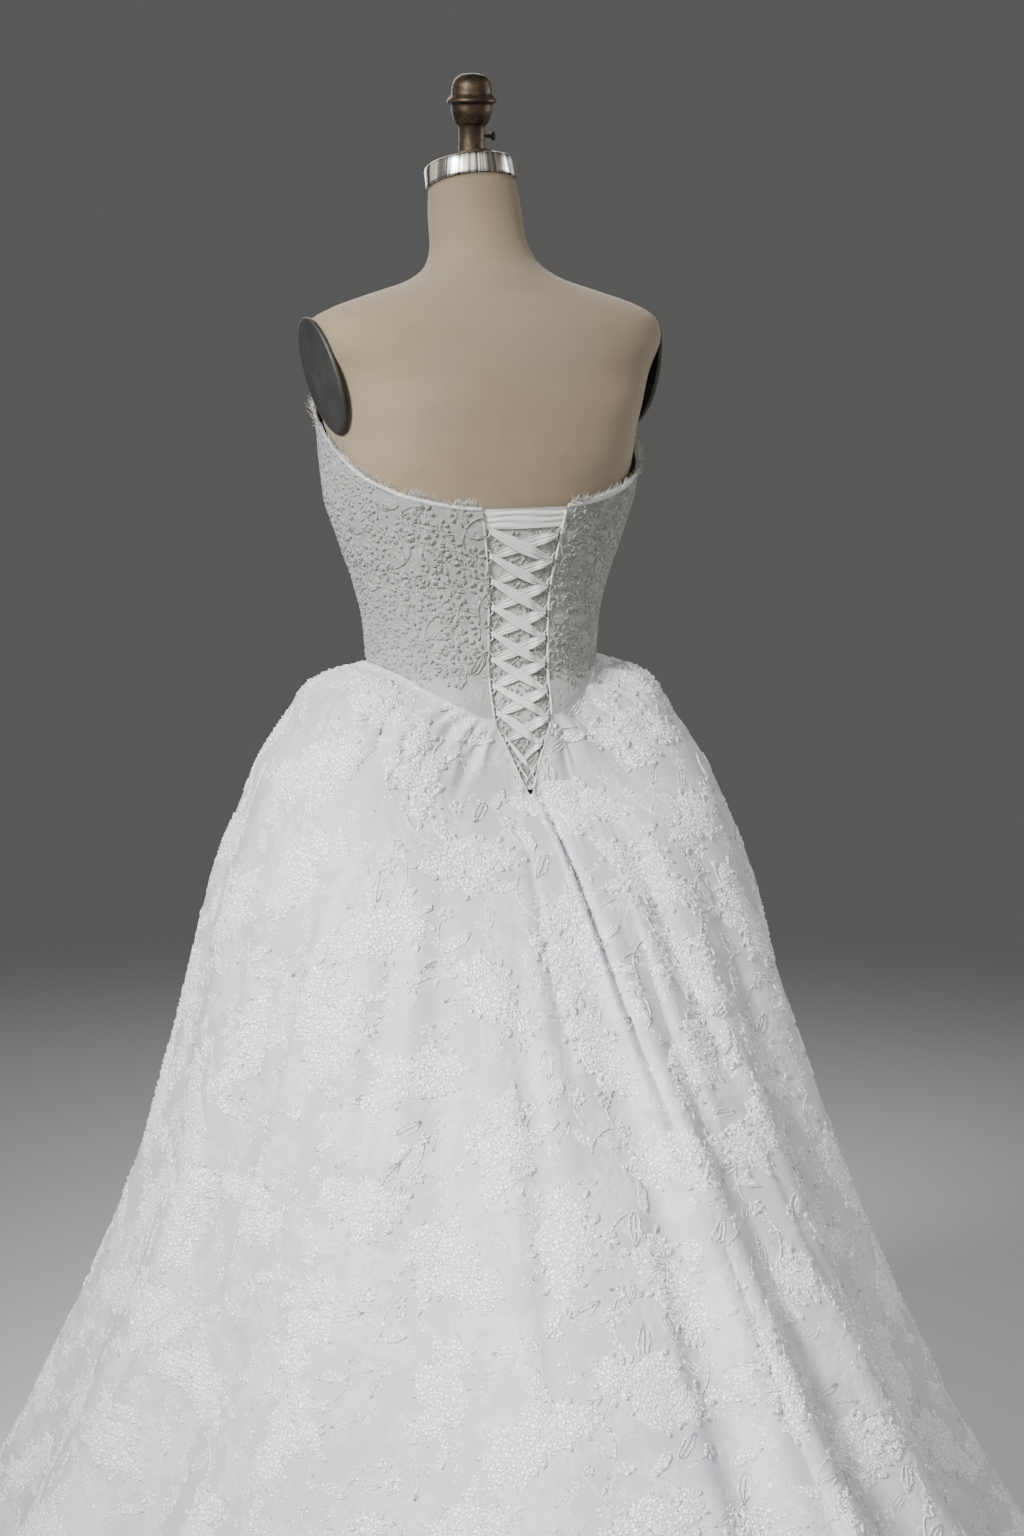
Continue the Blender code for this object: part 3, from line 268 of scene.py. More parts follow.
# Finer creases of the back: angle and share at the start, angle and share at the
# end, bow in degrees, half width, height
CREASE_ROWS = (
    (14.0, 0.020, 22.0, 0.150, 1.5, 0.0080, -0.0035),
    (20.5, 0.012, 30.0, 0.110, 1.0, 0.0060, 0.0022),
    (27.0, 0.010, 38.0, 0.135, -1.0, 0.0090, -0.0030),
    (36.0, 0.012, 45.0, 0.095, 0.5, 0.0060, 0.0020),
    (43.0, 0.010, 55.0, 0.150, 1.0, 0.0100, -0.0032),
    (55.0, 0.012, 62.0, 0.100, 0.0, 0.0070, 0.0022),
    (63.0, 0.010, 71.0, 0.130, -1.0, 0.0080, -0.0026),
    (-9.0, 0.095, -7.5, 0.200, 0.5, 0.0050, 0.0018),
    (-14.0, 0.020, -13.0, 0.170, 1.0, 0.0080, -0.0032),
    (-18.5, 0.014, -20.0, 0.105, 0.0, 0.0060, 0.0022),
    (-25.0, 0.012, -28.0, 0.140, -1.0, 0.0080, -0.0030),
    (-33.0, 0.012, -38.0, 0.100, 0.0, 0.0070, 0.0022),
    (-42.0, 0.010, -47.0, 0.140, 1.0, 0.0090, -0.0030),
    (-52.0, 0.012, -57.0, 0.090, 0.0, 0.0070, 0.0020),
    (5.0, 0.140, 7.0, 0.420, 0.6, 0.0120, -0.0030),
    (9.0, 0.200, 12.0, 0.560, 0.8, 0.0150, 0.0030),
    (14.0, 0.260, 21.0, 0.700, 0.5, 0.0170, -0.0065),
    (27.0, 0.180, 33.0, 0.520, 1.5, 0.0160, -0.0035),
    (44.0, 0.220, 54.0, 0.640, 1.0, 0.0180, 0.0050),
    (36.0, 0.190, 61.5, 0.760, 0.0, 0.0180, -0.0120),
    (49.5, 0.150, 75.0, 0.760, 2.5, 0.0180, 0.0130),
    (66.0, 0.250, 86.0, 0.780, 0.5, 0.0200, -0.0140),
    (-14.5, 0.240, -17.0, 0.620, -0.6, 0.0140, 0.0032),
    (-19.0, 0.180, -22.0, 0.520, -0.8, 0.0150, -0.0034),
    (-18.0, 0.110, -33.0, 0.680, 0.6, 0.0160, -0.0085),
    (-14.0, 0.200, -25.0, 0.700, 0.4, 0.0150, 0.0060),
    (-36.0, 0.160, -42.0, 0.480, -1.0, 0.0180, -0.0038),
    (1.5, 0.420, 1.0, 0.930, 0.8, 0.0180, 0.0045),
    (-2.3, 0.095, -9.2, 0.560, 0.0, 0.0120, -0.0100),
    (-9.2, 0.430, -9.9, 0.990, 0.4, 0.0180, -0.0120),
    (-0.8, 0.100, -7.7, 0.560, 0.0, 0.0060, 0.0048),
    (-7.7, 0.430, -8.3, 0.990, 0.4, 0.0090, 0.0070),
)
GATHER_FIRST = 13.0       # the gathers at the waist run round from here
GATHER_SEED = 5
GATHER_DEPTHS = (0.0013, 0.0030)
GATHER_LENGTHS = (0.030, 0.110)
GATHER_HALVES = (0.0028, 0.0058)
GATHER_STEPS = (1.8, 4.6)
COLUMN_BEHIND = 0.50      # degrees between the skirt's columns where the photo shows it
COLUMN_ELSEWHERE = 0.95
SKIRT_UPPER_ROWS = 32
SKIRT_LOWER_ROWS = 96
PANEL_COLUMN = 1.6        # degrees between a bodice panel's columns
PANEL_ROWS = 54
CREASE_REACH = 3.0        # half widths past which a crease is flat

# Lacing
LOOP_COUNT = 10
LOOP_PITCH = 0.0268
LOOP_FIRST_LEFT = 1.2300
LOOP_FIRST_RIGHT = 1.2235
LOOP_OUT = 0.0050
LOOP_HALF = 0.0080
CORD_RADIUS = 0.000736
EDGE_CORD_RADIUS = 0.00125
EDGE_CORD_LOW = 0.9640
EDGE_CORD_TOP = 1.2490
TOP_EDGE_RADIUS = 0.0027
TOP_EDGE_FLAT = 0.62
RIBBON_TURN = 0.0017
RIBBON_TIGHT = 0.0026     # half width where a loop gathers it
RIBBON_SPREAD = 0.0036    # added to it between the loops
RIBBON_WALL = 0.00022
RIBBON_END = 0.9700       # level where the ribbons end at the lacing's point
PANEL_LOW = 0.9630
PANEL_TOP = 1.2360
PANEL_FACE = 0.0006
PANEL_MARGIN = 0.0085     # the panel runs on this far behind the lacing edges
PANEL_FANS = 90
PANEL_FANS_LOW = 0.975
PANEL_FANS_TOP = 1.228
BAND_MARGIN = 0.0060
BAND_LOW = 1.2310
BAND_TOP = 1.2520

# Lace
LACE_SUNK = 0.0004        # the foot of the stitching lies this far under the cloth's face
SKIRT_TRIES = 40000
SKIRT_LACE_SEED = 21
BODICE_TRIES = 14000
BODICE_LACE_SEED = 77
BODICE_SPRIG_SPACING = 0.060
FAN_SPACING = 0.0140
FAN_FROM_SPRIG = 0.016
KNOT_SIZES = (0.0055, 0.0092)
KNOT_RISES = (0.0016, 0.0026)
EDGE_PETAL_SIZES = (0.0075, 0.0145)
PETAL_SIDES = 5
LEAF_TEETH = 0.13
STEM_STEPS = 9
STEM_HALF = 0.0013
STEM_RISE = 0.0015
GOLDEN_TURN = 2.39996
LASH_PITCH = 0.00062
LASH_LENGTH = 0.0115
LASH_RADII = (0.00034, 0.00030, 0.00023, 0.00010)
PLAIN_WAIST = 1.0790      # lower edge of the bodice's lace, where the waist seam is lower


def ease(value):
    u = np.clip(value, 0.0, 1.0)
    return u * u * (3.0 - 2.0 * u)


def wrap(angle):
    return (angle + 180.0) % 360.0 - 180.0


def unit(ways):
    return ways / np.linalg.norm(ways, axis=-1, keepdims=True)


def ring_turns(sides):
    """Angles of a ring's points, in radians."""
    return 2.0 * math.pi * np.arange(sides) / sides


def tangents(xs, ys):
    """Slopes of a smooth monotone curve through a table's column."""
    steps = np.diff(xs)
    slopes = np.diff(ys) / steps
    result = np.zeros(len(xs))
    result[0] = slopes[0]
    result[-1] = slopes[-1]
    before, after = slopes[:-1], slopes[1:]
    weight_0 = 2.0 * steps[1:] + steps[:-1]
    weight_1 = steps[1:] + 2.0 * steps[:-1]
    same_way = before * after > 0.0
    with np.errstate(divide="ignore", invalid="ignore"):
        mean = (weight_0 + weight_1) / (weight_0 / before + weight_1 / after)
    result[1:-1] = np.where(same_way, mean, 0.0)
    return result


def read_table(rows, column, values):
    """Smooth monotone reading of one column of a table, by its first column."""
    table = np.array(rows, float)
    xs, ys = table[:, 0], table[:, column]
    slopes = tangents(xs, ys)
    values = np.clip(values, xs[0], xs[-1])
    k = np.clip(np.searchsorted(xs, values, side="left") - 1, 0, len(xs) - 2)
    step = xs[k + 1] - xs[k]
    u = (values - xs[k]) / step
    return (
        ys[k] * (1.0 + 2.0 * u) * (1.0 - u) ** 2
        + slopes[k] * step * u * (1.0 - u) ** 2
        + ys[k + 1] * u * u * (3.0 - 2.0 * u)
        + slopes[k + 1] * step * u * u * (u - 1.0)
    )


def form_points(angle, level, lift=0.0):
    """Points of the figure's skin, or of a sheet lying that far above it."""
    angle = np.asarray(angle, float)
    level = np.asarray(level, float)
    half_x, front, back = (read_table(FORM_ROWS, k, level) + lift for k in (1, 2, 3))
    centre, square, lean = (read_table(FORM_ROWS, k, level) for k in (4, 5, 6))
    s = np.sin(np.radians(angle))
    c = np.cos(np.radians(angle))
    swell = 0.0
    for mid, height, wide, tall, rise in FORM_SWELLS:
        off = wrap(angle - mid) / wide
        up = (level - height) / tall
        swell = swell + rise * np.exp(-off * off - up * up)
    x = half_x * s * (1.0 + square * c * c) + swell * s * 0.5
    y = np.where(c > 0.0, back, front) * c * (1.0 + square * s * s) + swell * c
    cut = ARM_CUT_X + ARM_CUT_SLOPE * (level - ARM_CUT_Z) + lift
    past = np.abs(x) - cut
    cut_x = np.copysign(np.abs(x) - past * ease((level - ARM_CUT_LOW) / 0.025), x)
    x = np.where(past > 0.0, cut_x, x)
    return np.stack(np.broadcast_arrays(x, centre + y, level + lean * y), -1)


def top_level(angle):
    return read_table(TOP_ROWS, 1, np.abs(wrap(np.asarray(angle, float))))


def seam_level(angle):
    return read_table(SEAM_ROWS, 1, np.abs(wrap(np.asarray(angle, float))))


def gap_half(level):
    return read_table(GAP_ROWS, 1, level)


def bodice_points(angle, level, lift=0.0):
    return form_points(angle, level, BODICE_LIFT + lift)


def halve(test, low, high, steps=26):
    """Where a rising test turns false, by halving, for arrays."""
    low = np.array(low, float)
    high = np.array(high, float)
    for _ in range(steps):
        mid = 0.5 * (low + high)
        yes = test(mid)
        low = np.where(yes, mid, low)
        high = np.where(yes, high, mid)
    return 0.5 * (low + high)


def find_gap_angles(level):
    half = gap_half(level)
    zero = np.zeros(level.shape)
    return halve(lambda a: bodice_points(a, level)[..., 0] < half, zero, zero + 60.0)


GAP_LEVELS = np.linspace(0.95, 1.29, 341)
GAP_ANGLES = find_gap_angles(GAP_LEVELS)


def gap_angle(level):
    """Angle at which the bodice meets the lacing gap at a level."""
    return np.interp(level, GAP_LEVELS, GAP_ANGLES)


def skirt_base(angle, share):
    """Skirt without its folds."""
    angle, share = np.broadcast_arrays(np.asarray(angle, float), np.asarray(share, float))
    half_x, z_side, centre, front, z_front, full, back, z_back = (
        read_table(SKIRT_ROWS, k, share) for k in range(1, 9)
    )
    s = np.sin(np.radians(angle))
    c = np.cos(np.radians(angle))
    behind = c > 0.0
    near = np.where(behind, np.abs(c) ** TRAIN_POWER, c * c)
    y = centre + np.where(behind, full + (back - full) * near, front) * c
    z = z_side * (1.0 - near) + np.where(behind, z_back, z_front) * near
    points = np.stack((half_x * s, y, z), -1)
    row = SKIRT_ROWS[0]
    y_0 = row[3] + np.where(behind, row[6] + (row[7] - row[6]) * near, row[4]) * c
    z_0 = row[2] * (1.0 - near) + np.where(behind, row[8], row[5]) * near
    start = np.stack((row[1] * s, y_0, z_0), -1)
    fade = np.where(share < UPPER_SHARE, (1.0 - share / UPPER_SHARE) ** 2, 0.0)
    return points + (bodice_points(angle, seam_level(angle)) - start) * fade[..., None]


def fold_height(angle, share):
    total = np.zeros(np.broadcast(angle, share).shape)
    for waist, mid, hem, before, after, at_mid, at_hem, begin in FOLD_ROWS:
        lower = np.maximum(0.0, share - 0.5) / 0.5
        centre = np.where(share < 0.5, waist + (mid - waist) * share / 0.5, mid + (hem - mid) * lower)
        off = wrap(angle - centre)
        reach = np.where(off < 0.0, before, after) * (0.75 + 0.25 * share)
        grow = ease((share - begin) / 0.40)
        tall = at_mid * grow + (at_hem - at_mid) * lower
        near = (np.abs(off) <= 3.2 * reach) & (share > begin)
        total += np.where(near, tall * np.exp(-((off / reach) ** 2)), 0.0)
    return total


def skirt_points(angle, share):
    """Middle of the skirt's wall with its large folds, as the solids have it."""
    angle, share = np.broadcast_arrays(np.asarray(angle, float), np.asarray(share, float))
    base = skirt_base(angle, share)
    rise = fold_height(angle, share)
    low = np.maximum(0.0, share - 0.004)
    high = np.minimum(1.0, share + 0.004)
    round_way = skirt_base(angle + 0.4, share) - skirt_base(angle - 0.4, share)
    up_way = skirt_base(angle, low) - skirt_base(angle, high)
    normal = np.cross(round_way, up_way)
    normal[..., 2] *= 0.35 * (1.0 - ease((share - 0.80) / 0.15))
    level = base[..., 2]
    flat = np.where(level < GROUND_LEVEL, 0.35 + 0.65 * level / GROUND_LEVEL, 1.0)
    return base + unit(normal) * (rise * flat)[..., None]


def skirt_start(angle):
    """Share at which the skirt begins: the waist seam, or the edge of the lacing notch."""
    angle = np.asarray(angle, float)
    first = skirt_base(angle, np.zeros(angle.shape))
    in_notch = (np.abs(wrap(angle)) <= 20.0) & (np.abs(first[..., 0]) < gap_half(first[..., 2]))

    def inside(share):
        points = skirt_base(angle, share)
        return np.abs(points[..., 0]) < gap_half(points[..., 2])

    zero = np.zeros(angle.shape)
    return np.where(in_notch, halve(inside, zero, zero + 0.16, 30), 0.0)


def find_back_depths(target, level):
    zero = np.zeros(target.shape)
    angle = halve(lambda a: bodice_points(a, level)[..., 0] < target, zero, zero + 60.0)
    upper = bodice_points(angle, level)[..., 1]

    def share_at(turn):
        return halve(lambda s: skirt_base(turn, s)[..., 2] > level, zero, zero + 0.30, 18)

    turn = halve(lambda a: skirt_base(a, share_at(a))[..., 0] < target, zero, zero + 45.0, 18)
    lower = skirt_base(turn, share_at(turn))[..., 1]
    return np.where(level >= seam_level(0.0), upper, lower)


BACK_XS = np.linspace(0.0, 0.080, 21)
BACK_LEVELS = np.linspace(0.940, 1.275, 168)
BACK_DEPTHS = find_back_depths(*np.meshgrid(BACK_XS, BACK_LEVELS))


def back_depth(x, level):
    """How far back the dress's middle surface lies at places of the lacing."""
    x, level = np.broadcast_arrays(np.abs(np.asarray(x, float)), np.asarray(level, float))
    i = np.clip(np.searchsorted(BACK_XS, x, side="right") - 1, 0, len(BACK_XS) - 2)
    j = np.clip(np.searchsorted(BACK_LEVELS, level, side="right") - 1, 0, len(BACK_LEVELS) - 2)
    a = (x - BACK_XS[i]) / (BACK_XS[i + 1] - BACK_XS[i])
    b = (level - BACK_LEVELS[j]) / (BACK_LEVELS[j + 1] - BACK_LEVELS[j])
    upper = BACK_DEPTHS[j, i] * (1.0 - a) + BACK_DEPTHS[j, i + 1] * a
    lower = BACK_DEPTHS[j + 1, i] * (1.0 - a) + BACK_DEPTHS[j + 1, i + 1] * a
    return upper * (1.0 - b) + lower * b


def grid_normals(points, closed):
    """Unit normals of a grid of points, out of the side where columns then rows turn right."""
    if closed:
        ring = points[:, :-1]
        across = np.roll(ring, -1, 1) - np.roll(ring, 1, 1)
        across = np.concatenate((across, across[:, :1]), 1)
    else:
        across = np.gradient(points, axis=1)
    down = np.gradient(points, axis=0)
    normals = np.cross(across, down)
    return normals / np.maximum(np.linalg.norm(normals, axis=-1, keepdims=True), 1e-12)


def grid_faces(rows, cols, closed=False):
    """Quads of a grid whose points are numbered row by row."""
    last = cols if closed else cols - 1
    i, j = np.meshgrid(np.arange(last), np.arange(rows - 1))
    nxt = (i + 1) % cols
    quads = np.stack((j * cols + i, (j + 1) * cols + i, (j + 1) * cols + nxt, j * cols + nxt), -1)
    return quads.reshape(-1, 4)


def make_piece(name, points, faces, look, slot, body=DRESS, normals=None, cloth_map=None):
    """A mesh piece of the part, from arrays of points and of equal-sided faces."""
    mesh = bpy.data.meshes.new(name)
    points = np.asarray(points, np.float32).reshape(-1, 3)
    mesh.vertices.add(len(points))
    mesh.vertices.foreach_set("co", points.ravel())
    faces = [np.asarray(f, np.int32) for f in faces if len(f)]
    corners = np.concatenate([f.ravel() for f in faces])
    sizes = np.concatenate([np.full(len(f), f.shape[1], np.int32) for f in faces])
    starts = np.concatenate(([0], np.cumsum(sizes)[:-1])).astype(np.int32)
    mesh.loops.add(len(corners))
    mesh.loops.foreach_set("vertex_index", corners)
    mesh.polygons.add(len(sizes))
    mesh.polygons.foreach_set("loop_start", starts)
    mesh.polygons.foreach_set("use_smooth", np.ones(len(sizes), bool))
    mesh.update(calc_edges=True)
    if cloth_map is not None:
        layer = mesh.uv_layers.new(name="cloth")
        layer.data.foreach_set("uv", np.asarray(cloth_map, np.float32).reshape(-1, 2)[corners].ravel())
    mesh.validate()
    if normals is not None:
        mesh.normals_split_custom_set_from_vertices(np.asarray(normals, float).reshape(-1, 3))
    item = bpy.data.objects.new(name, mesh)
    bpy.context.scene.collection.objects.link(item)
    mesh.materials.append(look)
    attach(item, body)
    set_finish(item, slot)
    return item


def lengths_along(points, axis):
    """Running length along a grid's rows or columns."""
    steps = np.linalg.norm(np.diff(points, axis=axis), axis=-1)
    zero = np.zeros_like(np.take(steps, [0], axis=axis))
    return np.concatenate((zero, np.cumsum(steps, axis=axis)), axis=axis)


def grid_area(points):
    across = np.diff(points, axis=1)[:-1]
    down = np.diff(points, axis=0)[:, :-1]
    return float(np.linalg.norm(np.cross(across, down), axis=-1).sum())


def cloth_piece(name, points, normals, look, slot, held, rests_on, face=OUTER):
    """A sheet of cloth over the grid of its solid's middle surface, returned with a description of its cut.
    """
    shown = points + normals * face
    across = lengths_along(shown, 1)
    down = lengths_along(shown, 0)
    cloth_map = np.stack((across - across[:, -1:] * 0.5, down), -1)
    rows, cols = shown.shape[:2]
    item = make_piece(
        name + "_cloth", shown, [grid_faces(rows, cols)[:, ::-1]], look, slot, normals=normals,
        cloth_map=cloth_map,
    )
    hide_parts(name)
    width = float(across[:, -1].max())
    length = float(down[-1].max())
    share = grid_area(shown) / (width * length)
    return item, dict(
        flat=(width, length), held=held, rests_on=rests_on, area=min(1.0, max(0.3, share)) * width * length,
    )


# Materials


def new_look(name, colour, rough, metal=0.0, sheen=0.0, sheen_rough=0.4):
    look = bpy.data.materials.new(name)
    look.use_nodes = True
    shader = look.node_tree.nodes["Principled BSDF"]
    shader.inputs["Base Color"].default_value = (*colour, 1.0)
    shader.inputs["Roughness"].default_value = rough
    shader.inputs["Metallic"].default_value = metal
    shader.inputs["Sheen Weight"].default_value = sheen
    shader.inputs["Sheen Roughness"].default_value = sheen_rough
    look.diffuse_color = (*colour, 1.0)
    return look, look.node_tree, shader


def node(tree, kind, **settings):
    made = tree.nodes.new(kind)
    for key, value in settings.items():
        setattr(made, key, value)
    return made


def noise(tree, source, scale, detail=3.0, rough=0.55, distortion=0.0):
    made = node(tree, "ShaderNodeTexNoise")
    made.inputs["Scale"].default_value = scale
    made.inputs["Detail"].default_value = detail
    made.inputs["Roughness"].default_value = rough
    made.inputs["Distortion"].default_value = distortion
    tree.links.new(source, made.inputs["Vector"])
    return made.outputs["Fac"]


def cells(tree, source, scale, feature="F1", smooth=None):
    made = node(tree, "ShaderNodeTexVoronoi", feature=feature)
    made.inputs["Scale"].default_value = scale
    if smooth is not None:
        made.inputs["Smoothness"].default_value = smooth
    tree.links.new(source, made.inputs["Vector"])
    return made.outputs["Distance"]


def bands(tree, source, scale, direction="X", distortion=0.0, detail=0.0):
    made = node(tree, "ShaderNodeTexWave", wave_type="BANDS", bands_direction=direction)
    made.inputs["Scale"].default_value = scale
    made.inputs["Distortion"].default_value = distortion
    made.inputs["Detail"].default_value = detail
    tree.links.new(source, made.inputs["Vector"])
    return made.outputs["Fac"]


def ramp(tree, value, low, high, first=(0.0, 0.0, 0.0), second=(1.0, 1.0, 1.0)):
    made = node(tree, "ShaderNodeValToRGB")
    made.color_ramp.elements[0].position = low
    made.color_ramp.elements[0].color = (*first, 1.0)
    made.color_ramp.elements[1].position = high
    made.color_ramp.elements[1].color = (*second, 1.0)
    tree.links.new(value, made.inputs["Fac"])
    return made.outputs["Color"]


def math_node(tree, kind, first, second):
    made = node(tree, "ShaderNodeMath", operation=kind)
    for k, value in enumerate((first, second)):
        if isinstance(value, float):
            made.inputs[k].default_value = value
        else:
            tree.links.new(value, made.inputs[k])
    return made.outputs["Value"]


def mix_colours(tree, factor, first, second):
    made = node(tree, "ShaderNodeMix", data_type="RGBA")
    for socket, value in ((made.inputs["Factor"], factor), (made.inputs[6], first), (made.inputs[7], second)):
        if isinstance(value, float):
            socket.default_value = value
        elif isinstance(value, tuple):
            socket.default_value = (*value, 1.0)
        else:
            tree.links.new(value, socket)
    return made.outputs[2]


def bump(tree, shader, height, distance, strength=1.0, below=None):
    made = node(tree, "ShaderNodeBump")
    made.inputs["Distance"].default_value = distance
    made.inputs["Strength"].default_value = strength
    tree.links.new(height, made.inputs["Height"])
    if below is not None:
        tree.links.new(below, made.inputs["Normal"])
    tree.links.new(made.outputs["Normal"], shader.inputs["Normal"])
    return made.outputs["Normal"]


def place_of(tree):
    return node(tree, "ShaderNodeTexCoord").outputs["Object"]


def cloth_place(tree):
    return node(tree, "ShaderNodeUVMap", uv_map="cloth").outputs["UV"]


def net_look(name, net, clothwork, curls):
    """Net over satin, with flat clothwork between the raised stitching."""
    look, tree, shader = new_look(name, net, 0.62, sheen=0.25)
    here = place_of(tree)
    flat = cloth_place(tree)
    clouds = ramp(tree, noise(tree, here, 17.0, 3.0, 0.6, 0.4), 0.47, 0.56)
    curl_line = ramp(tree, cells(tree, here, curls, "SMOOTH_F1", 0.35), 0.10, 0.50)
    fine = cells(tree, here, 750.0)
    threads = math_node(tree, "ADD", bands(tree, flat, 140.0, "X", 0.6), bands(tree, flat, 140.0, "Y", 0.6))
    tone = mix_colours(tree, clouds, net, clothwork)
    mottled = noise(tree, here, 240.0, 2.0, 0.6)
    tone = mix_colours(tree, math_node(tree, "MULTIPLY", mottled, 0.16), tone, tuple(c * 0.82 for c in net))
    tree.links.new(tone, shader.inputs["Base Color"])
    mesh = math_node(tree, "ADD", fine, math_node(tree, "MULTIPLY", threads, 0.35))
    low = bump(tree, shader, mesh, 0.00025, 0.5)
    masked = math_node(tree, "MULTIPLY", curl_line, clouds)
    bump(tree, shader, masked, 0.0009, 0.8, low)
    return look


def stitch_look(name, colour, scale, curls, dark):
    """White corded stitching in small curls, with painted shade between them."""
    look, tree, shader = new_look(name, colour, 0.70, sheen=0.35)
    here = place_of(tree)
    stray = node(tree, "ShaderNodeTexNoise")
    stray.inputs["Scale"].default_value = curls * 0.8
    tree.links.new(here, stray.inputs["Vector"])
    bent = node(tree, "ShaderNodeVectorMath", operation="MULTIPLY_ADD")
    tree.links.new(stray.outputs["Color"], bent.inputs[0])
    bent.inputs[1].default_value = (0.006, 0.006, 0.006)
    tree.links.new(here, bent.inputs[2])
    # painted shade: near the cells' edges, between the curls, the colour falls to dark times itself
    gap = ramp(tree, cells(tree, bent.outputs["Vector"], curls, "DISTANCE_TO_EDGE"), 0.02, 0.24)
    twist = cells(tree, here, scale)
    grain = noise(tree, here, scale * 2.2, 2.0, 0.7)
    tone = mix_colours(tree, gap, tuple(c * dark for c in colour), colour)
    tree.links.new(tone, shader.inputs["Base Color"])
    low = bump(tree, shader, gap, 0.0012, 0.9)
    low = bump(tree, shader, twist, 0.0005, 0.6, low)
    bump(tree, shader, grain, 0.0002, 0.5, low)
    return look


def satin_look(name, colour, rough=0.34):
    look, tree, shader = new_look(name, colour, rough, sheen=0.3, sheen_rough=0.3)
    shader.inputs["Anisotropic"].default_value = 0.45
    here = place_of(tree)
    slub = noise(tree, here, 420.0, 2.0, 0.6)
    soft = noise(tree, here, 60.0, 2.0, 0.5)
    part = math_node(tree, "MULTIPLY", soft, 0.12)
    shade = mix_colours(tree, part, colour, tuple(c * 0.86 for c in colour))
    tree.links.new(shade, shader.inputs["Base Color"])
    low = bump(tree, shader, soft, 0.0008, 0.25)
    bump(tree, shader, slub, 0.0002, 0.25, low)
    return look


def linen_look():
    """Natural linen stretched on the form: warp and weft with slubs, and soft greyer clouds of painted shade.
    """
    colour = (0.245, 0.187, 0.108)
    look, tree, shader = new_look("linen", colour, 0.88, sheen=0.25, sheen_rough=0.5)
    here = place_of(tree)
    warp = bands(tree, here, 330.0, "X", 1.6, 2.0)
    weft = bands(tree, here, 330.0, "Z", 1.6, 2.0)
    weave = math_node(tree, "ADD", warp, weft)
    slubs = noise(tree, here, 46.0, 5.0, 0.65)
    # painted shade: large soft clouds where the linen turns greyer
    clouds = noise(tree, here, 6.5, 2.0, 0.5)
    tone = mix_colours(tree, ramp(tree, slubs, 0.40, 0.66), colour, (0.260, 0.200, 0.122))
    tone = mix_colours(tree, ramp(tree, clouds, 0.42, 0.70), tone, (0.250, 0.202, 0.138))
    fleck = ramp(tree, noise(tree, here, 520.0, 2.0, 0.8), 0.62, 0.70)
    tone = mix_colours(tree, math_node(tree, "MULTIPLY", fleck, 0.35), tone, (0.20, 0.157, 0.103))
    tree.links.new(tone, shader.inputs["Base Color"])
    low = bump(tree, shader, weave, 0.0003, 0.5)
    bump(tree, shader, slubs, 0.0012, 0.35, low)
    return look


def streaks(tree, value, scale, **settings):
    """Noise along one value, such as a turn round an axis."""
    made = node(tree, "ShaderNodeTexNoise", noise_dimensions="1D")
    made.inputs["Scale"].default_value = scale
    for name, setting in settings.items():
        made.inputs[name].default_value = setting
    tree.links.new(value, made.inputs["W"])
    return made.outputs["Fac"]


def band_look():
    """Bright drawn band of the neck cap, with painted reflections in its colour: fine upright streaks, dark
    and bright, and warm patches.
    """
    look, tree, shader = new_look("bright_band", (0.72, 0.72, 0.74), 0.30, metal=1.0)
    here = place_of(tree)
    parts = node(tree, "ShaderNodeSeparateXYZ")
    tree.links.new(here, parts.inputs["Vector"])
    turn = node(tree, "ShaderNodeMath", operation="ARCTAN2")
    tree.links.new(parts.outputs["Y"], turn.inputs[0])
    tree.links.new(parts.outputs["X"], turn.inputs[1])
    # painted reflections: the metal's colour runs round the band in upright streaks from nearly black to
    # bright, with warm patches
    reflection_streaks = streaks(tree, turn.outputs["Value"], 6.5, Detail=3.0, Roughness=0.75)
    warm_reflection = streaks(tree, turn.outputs["Value"], 4.0, Detail=2.0)
    tone = ramp(tree, reflection_streaks, 0.40, 0.60, (0.10, 0.10, 0.105), (0.97, 0.96, 0.94))
    warm_reflection_share = math_node(tree, "MULTIPLY", ramp(tree, warm_reflection, 0.52, 0.60), 0.55)
    tree.links.new(mix_colours(tree, warm_reflection_share, tone, (0.60, 0.40, 0.25)), shader.inputs["Base Color"])
    bump(tree, shader, noise(tree, here, 900.0, 2.0, 0.6), 0.0002, 0.3)
    return look


def bronze_look(name, dark, worn, rough):
    """Dark antique bronze, browner where it is handled."""
    look, tree, shader = new_look(name, dark, rough, metal=0.75)
    here = place_of(tree)
    patches = ramp(tree, noise(tree, here, 85.0, 5.0, 0.65, 0.5), 0.40, 0.68)
    tone = mix_colours(tree, patches, dark, worn)
    tree.links.new(tone, shader.inputs["Base Color"])
    grain = noise(tree, here, 600.0, 3.0, 0.7)
    roughness = math_node(tree, "ADD", math_node(tree, "MULTIPLY", grain, 0.3), rough - 0.15)
    tree.links.new(roughness, shader.inputs["Roughness"])
    bump(tree, shader, grain, 0.0004, 0.5)
    return look


def iron_look(name, colour, rough):
    look, tree, shader = new_look(name, colour, rough, metal=0.6)
    here = place_of(tree)
    grain = noise(tree, here, 380.0, 4.0, 0.65)
    patches = ramp(tree, noise(tree, here, 24.0, 4.0, 0.6), 0.35, 0.75)
    tone = mix_colours(tree, patches, colour, tuple(c * 1.6 + 0.01 for c in colour))
    tree.links.new(tone, shader.inputs["Base Color"])
    bump(tree, shader, grain, 0.0005, 0.4)
    return look


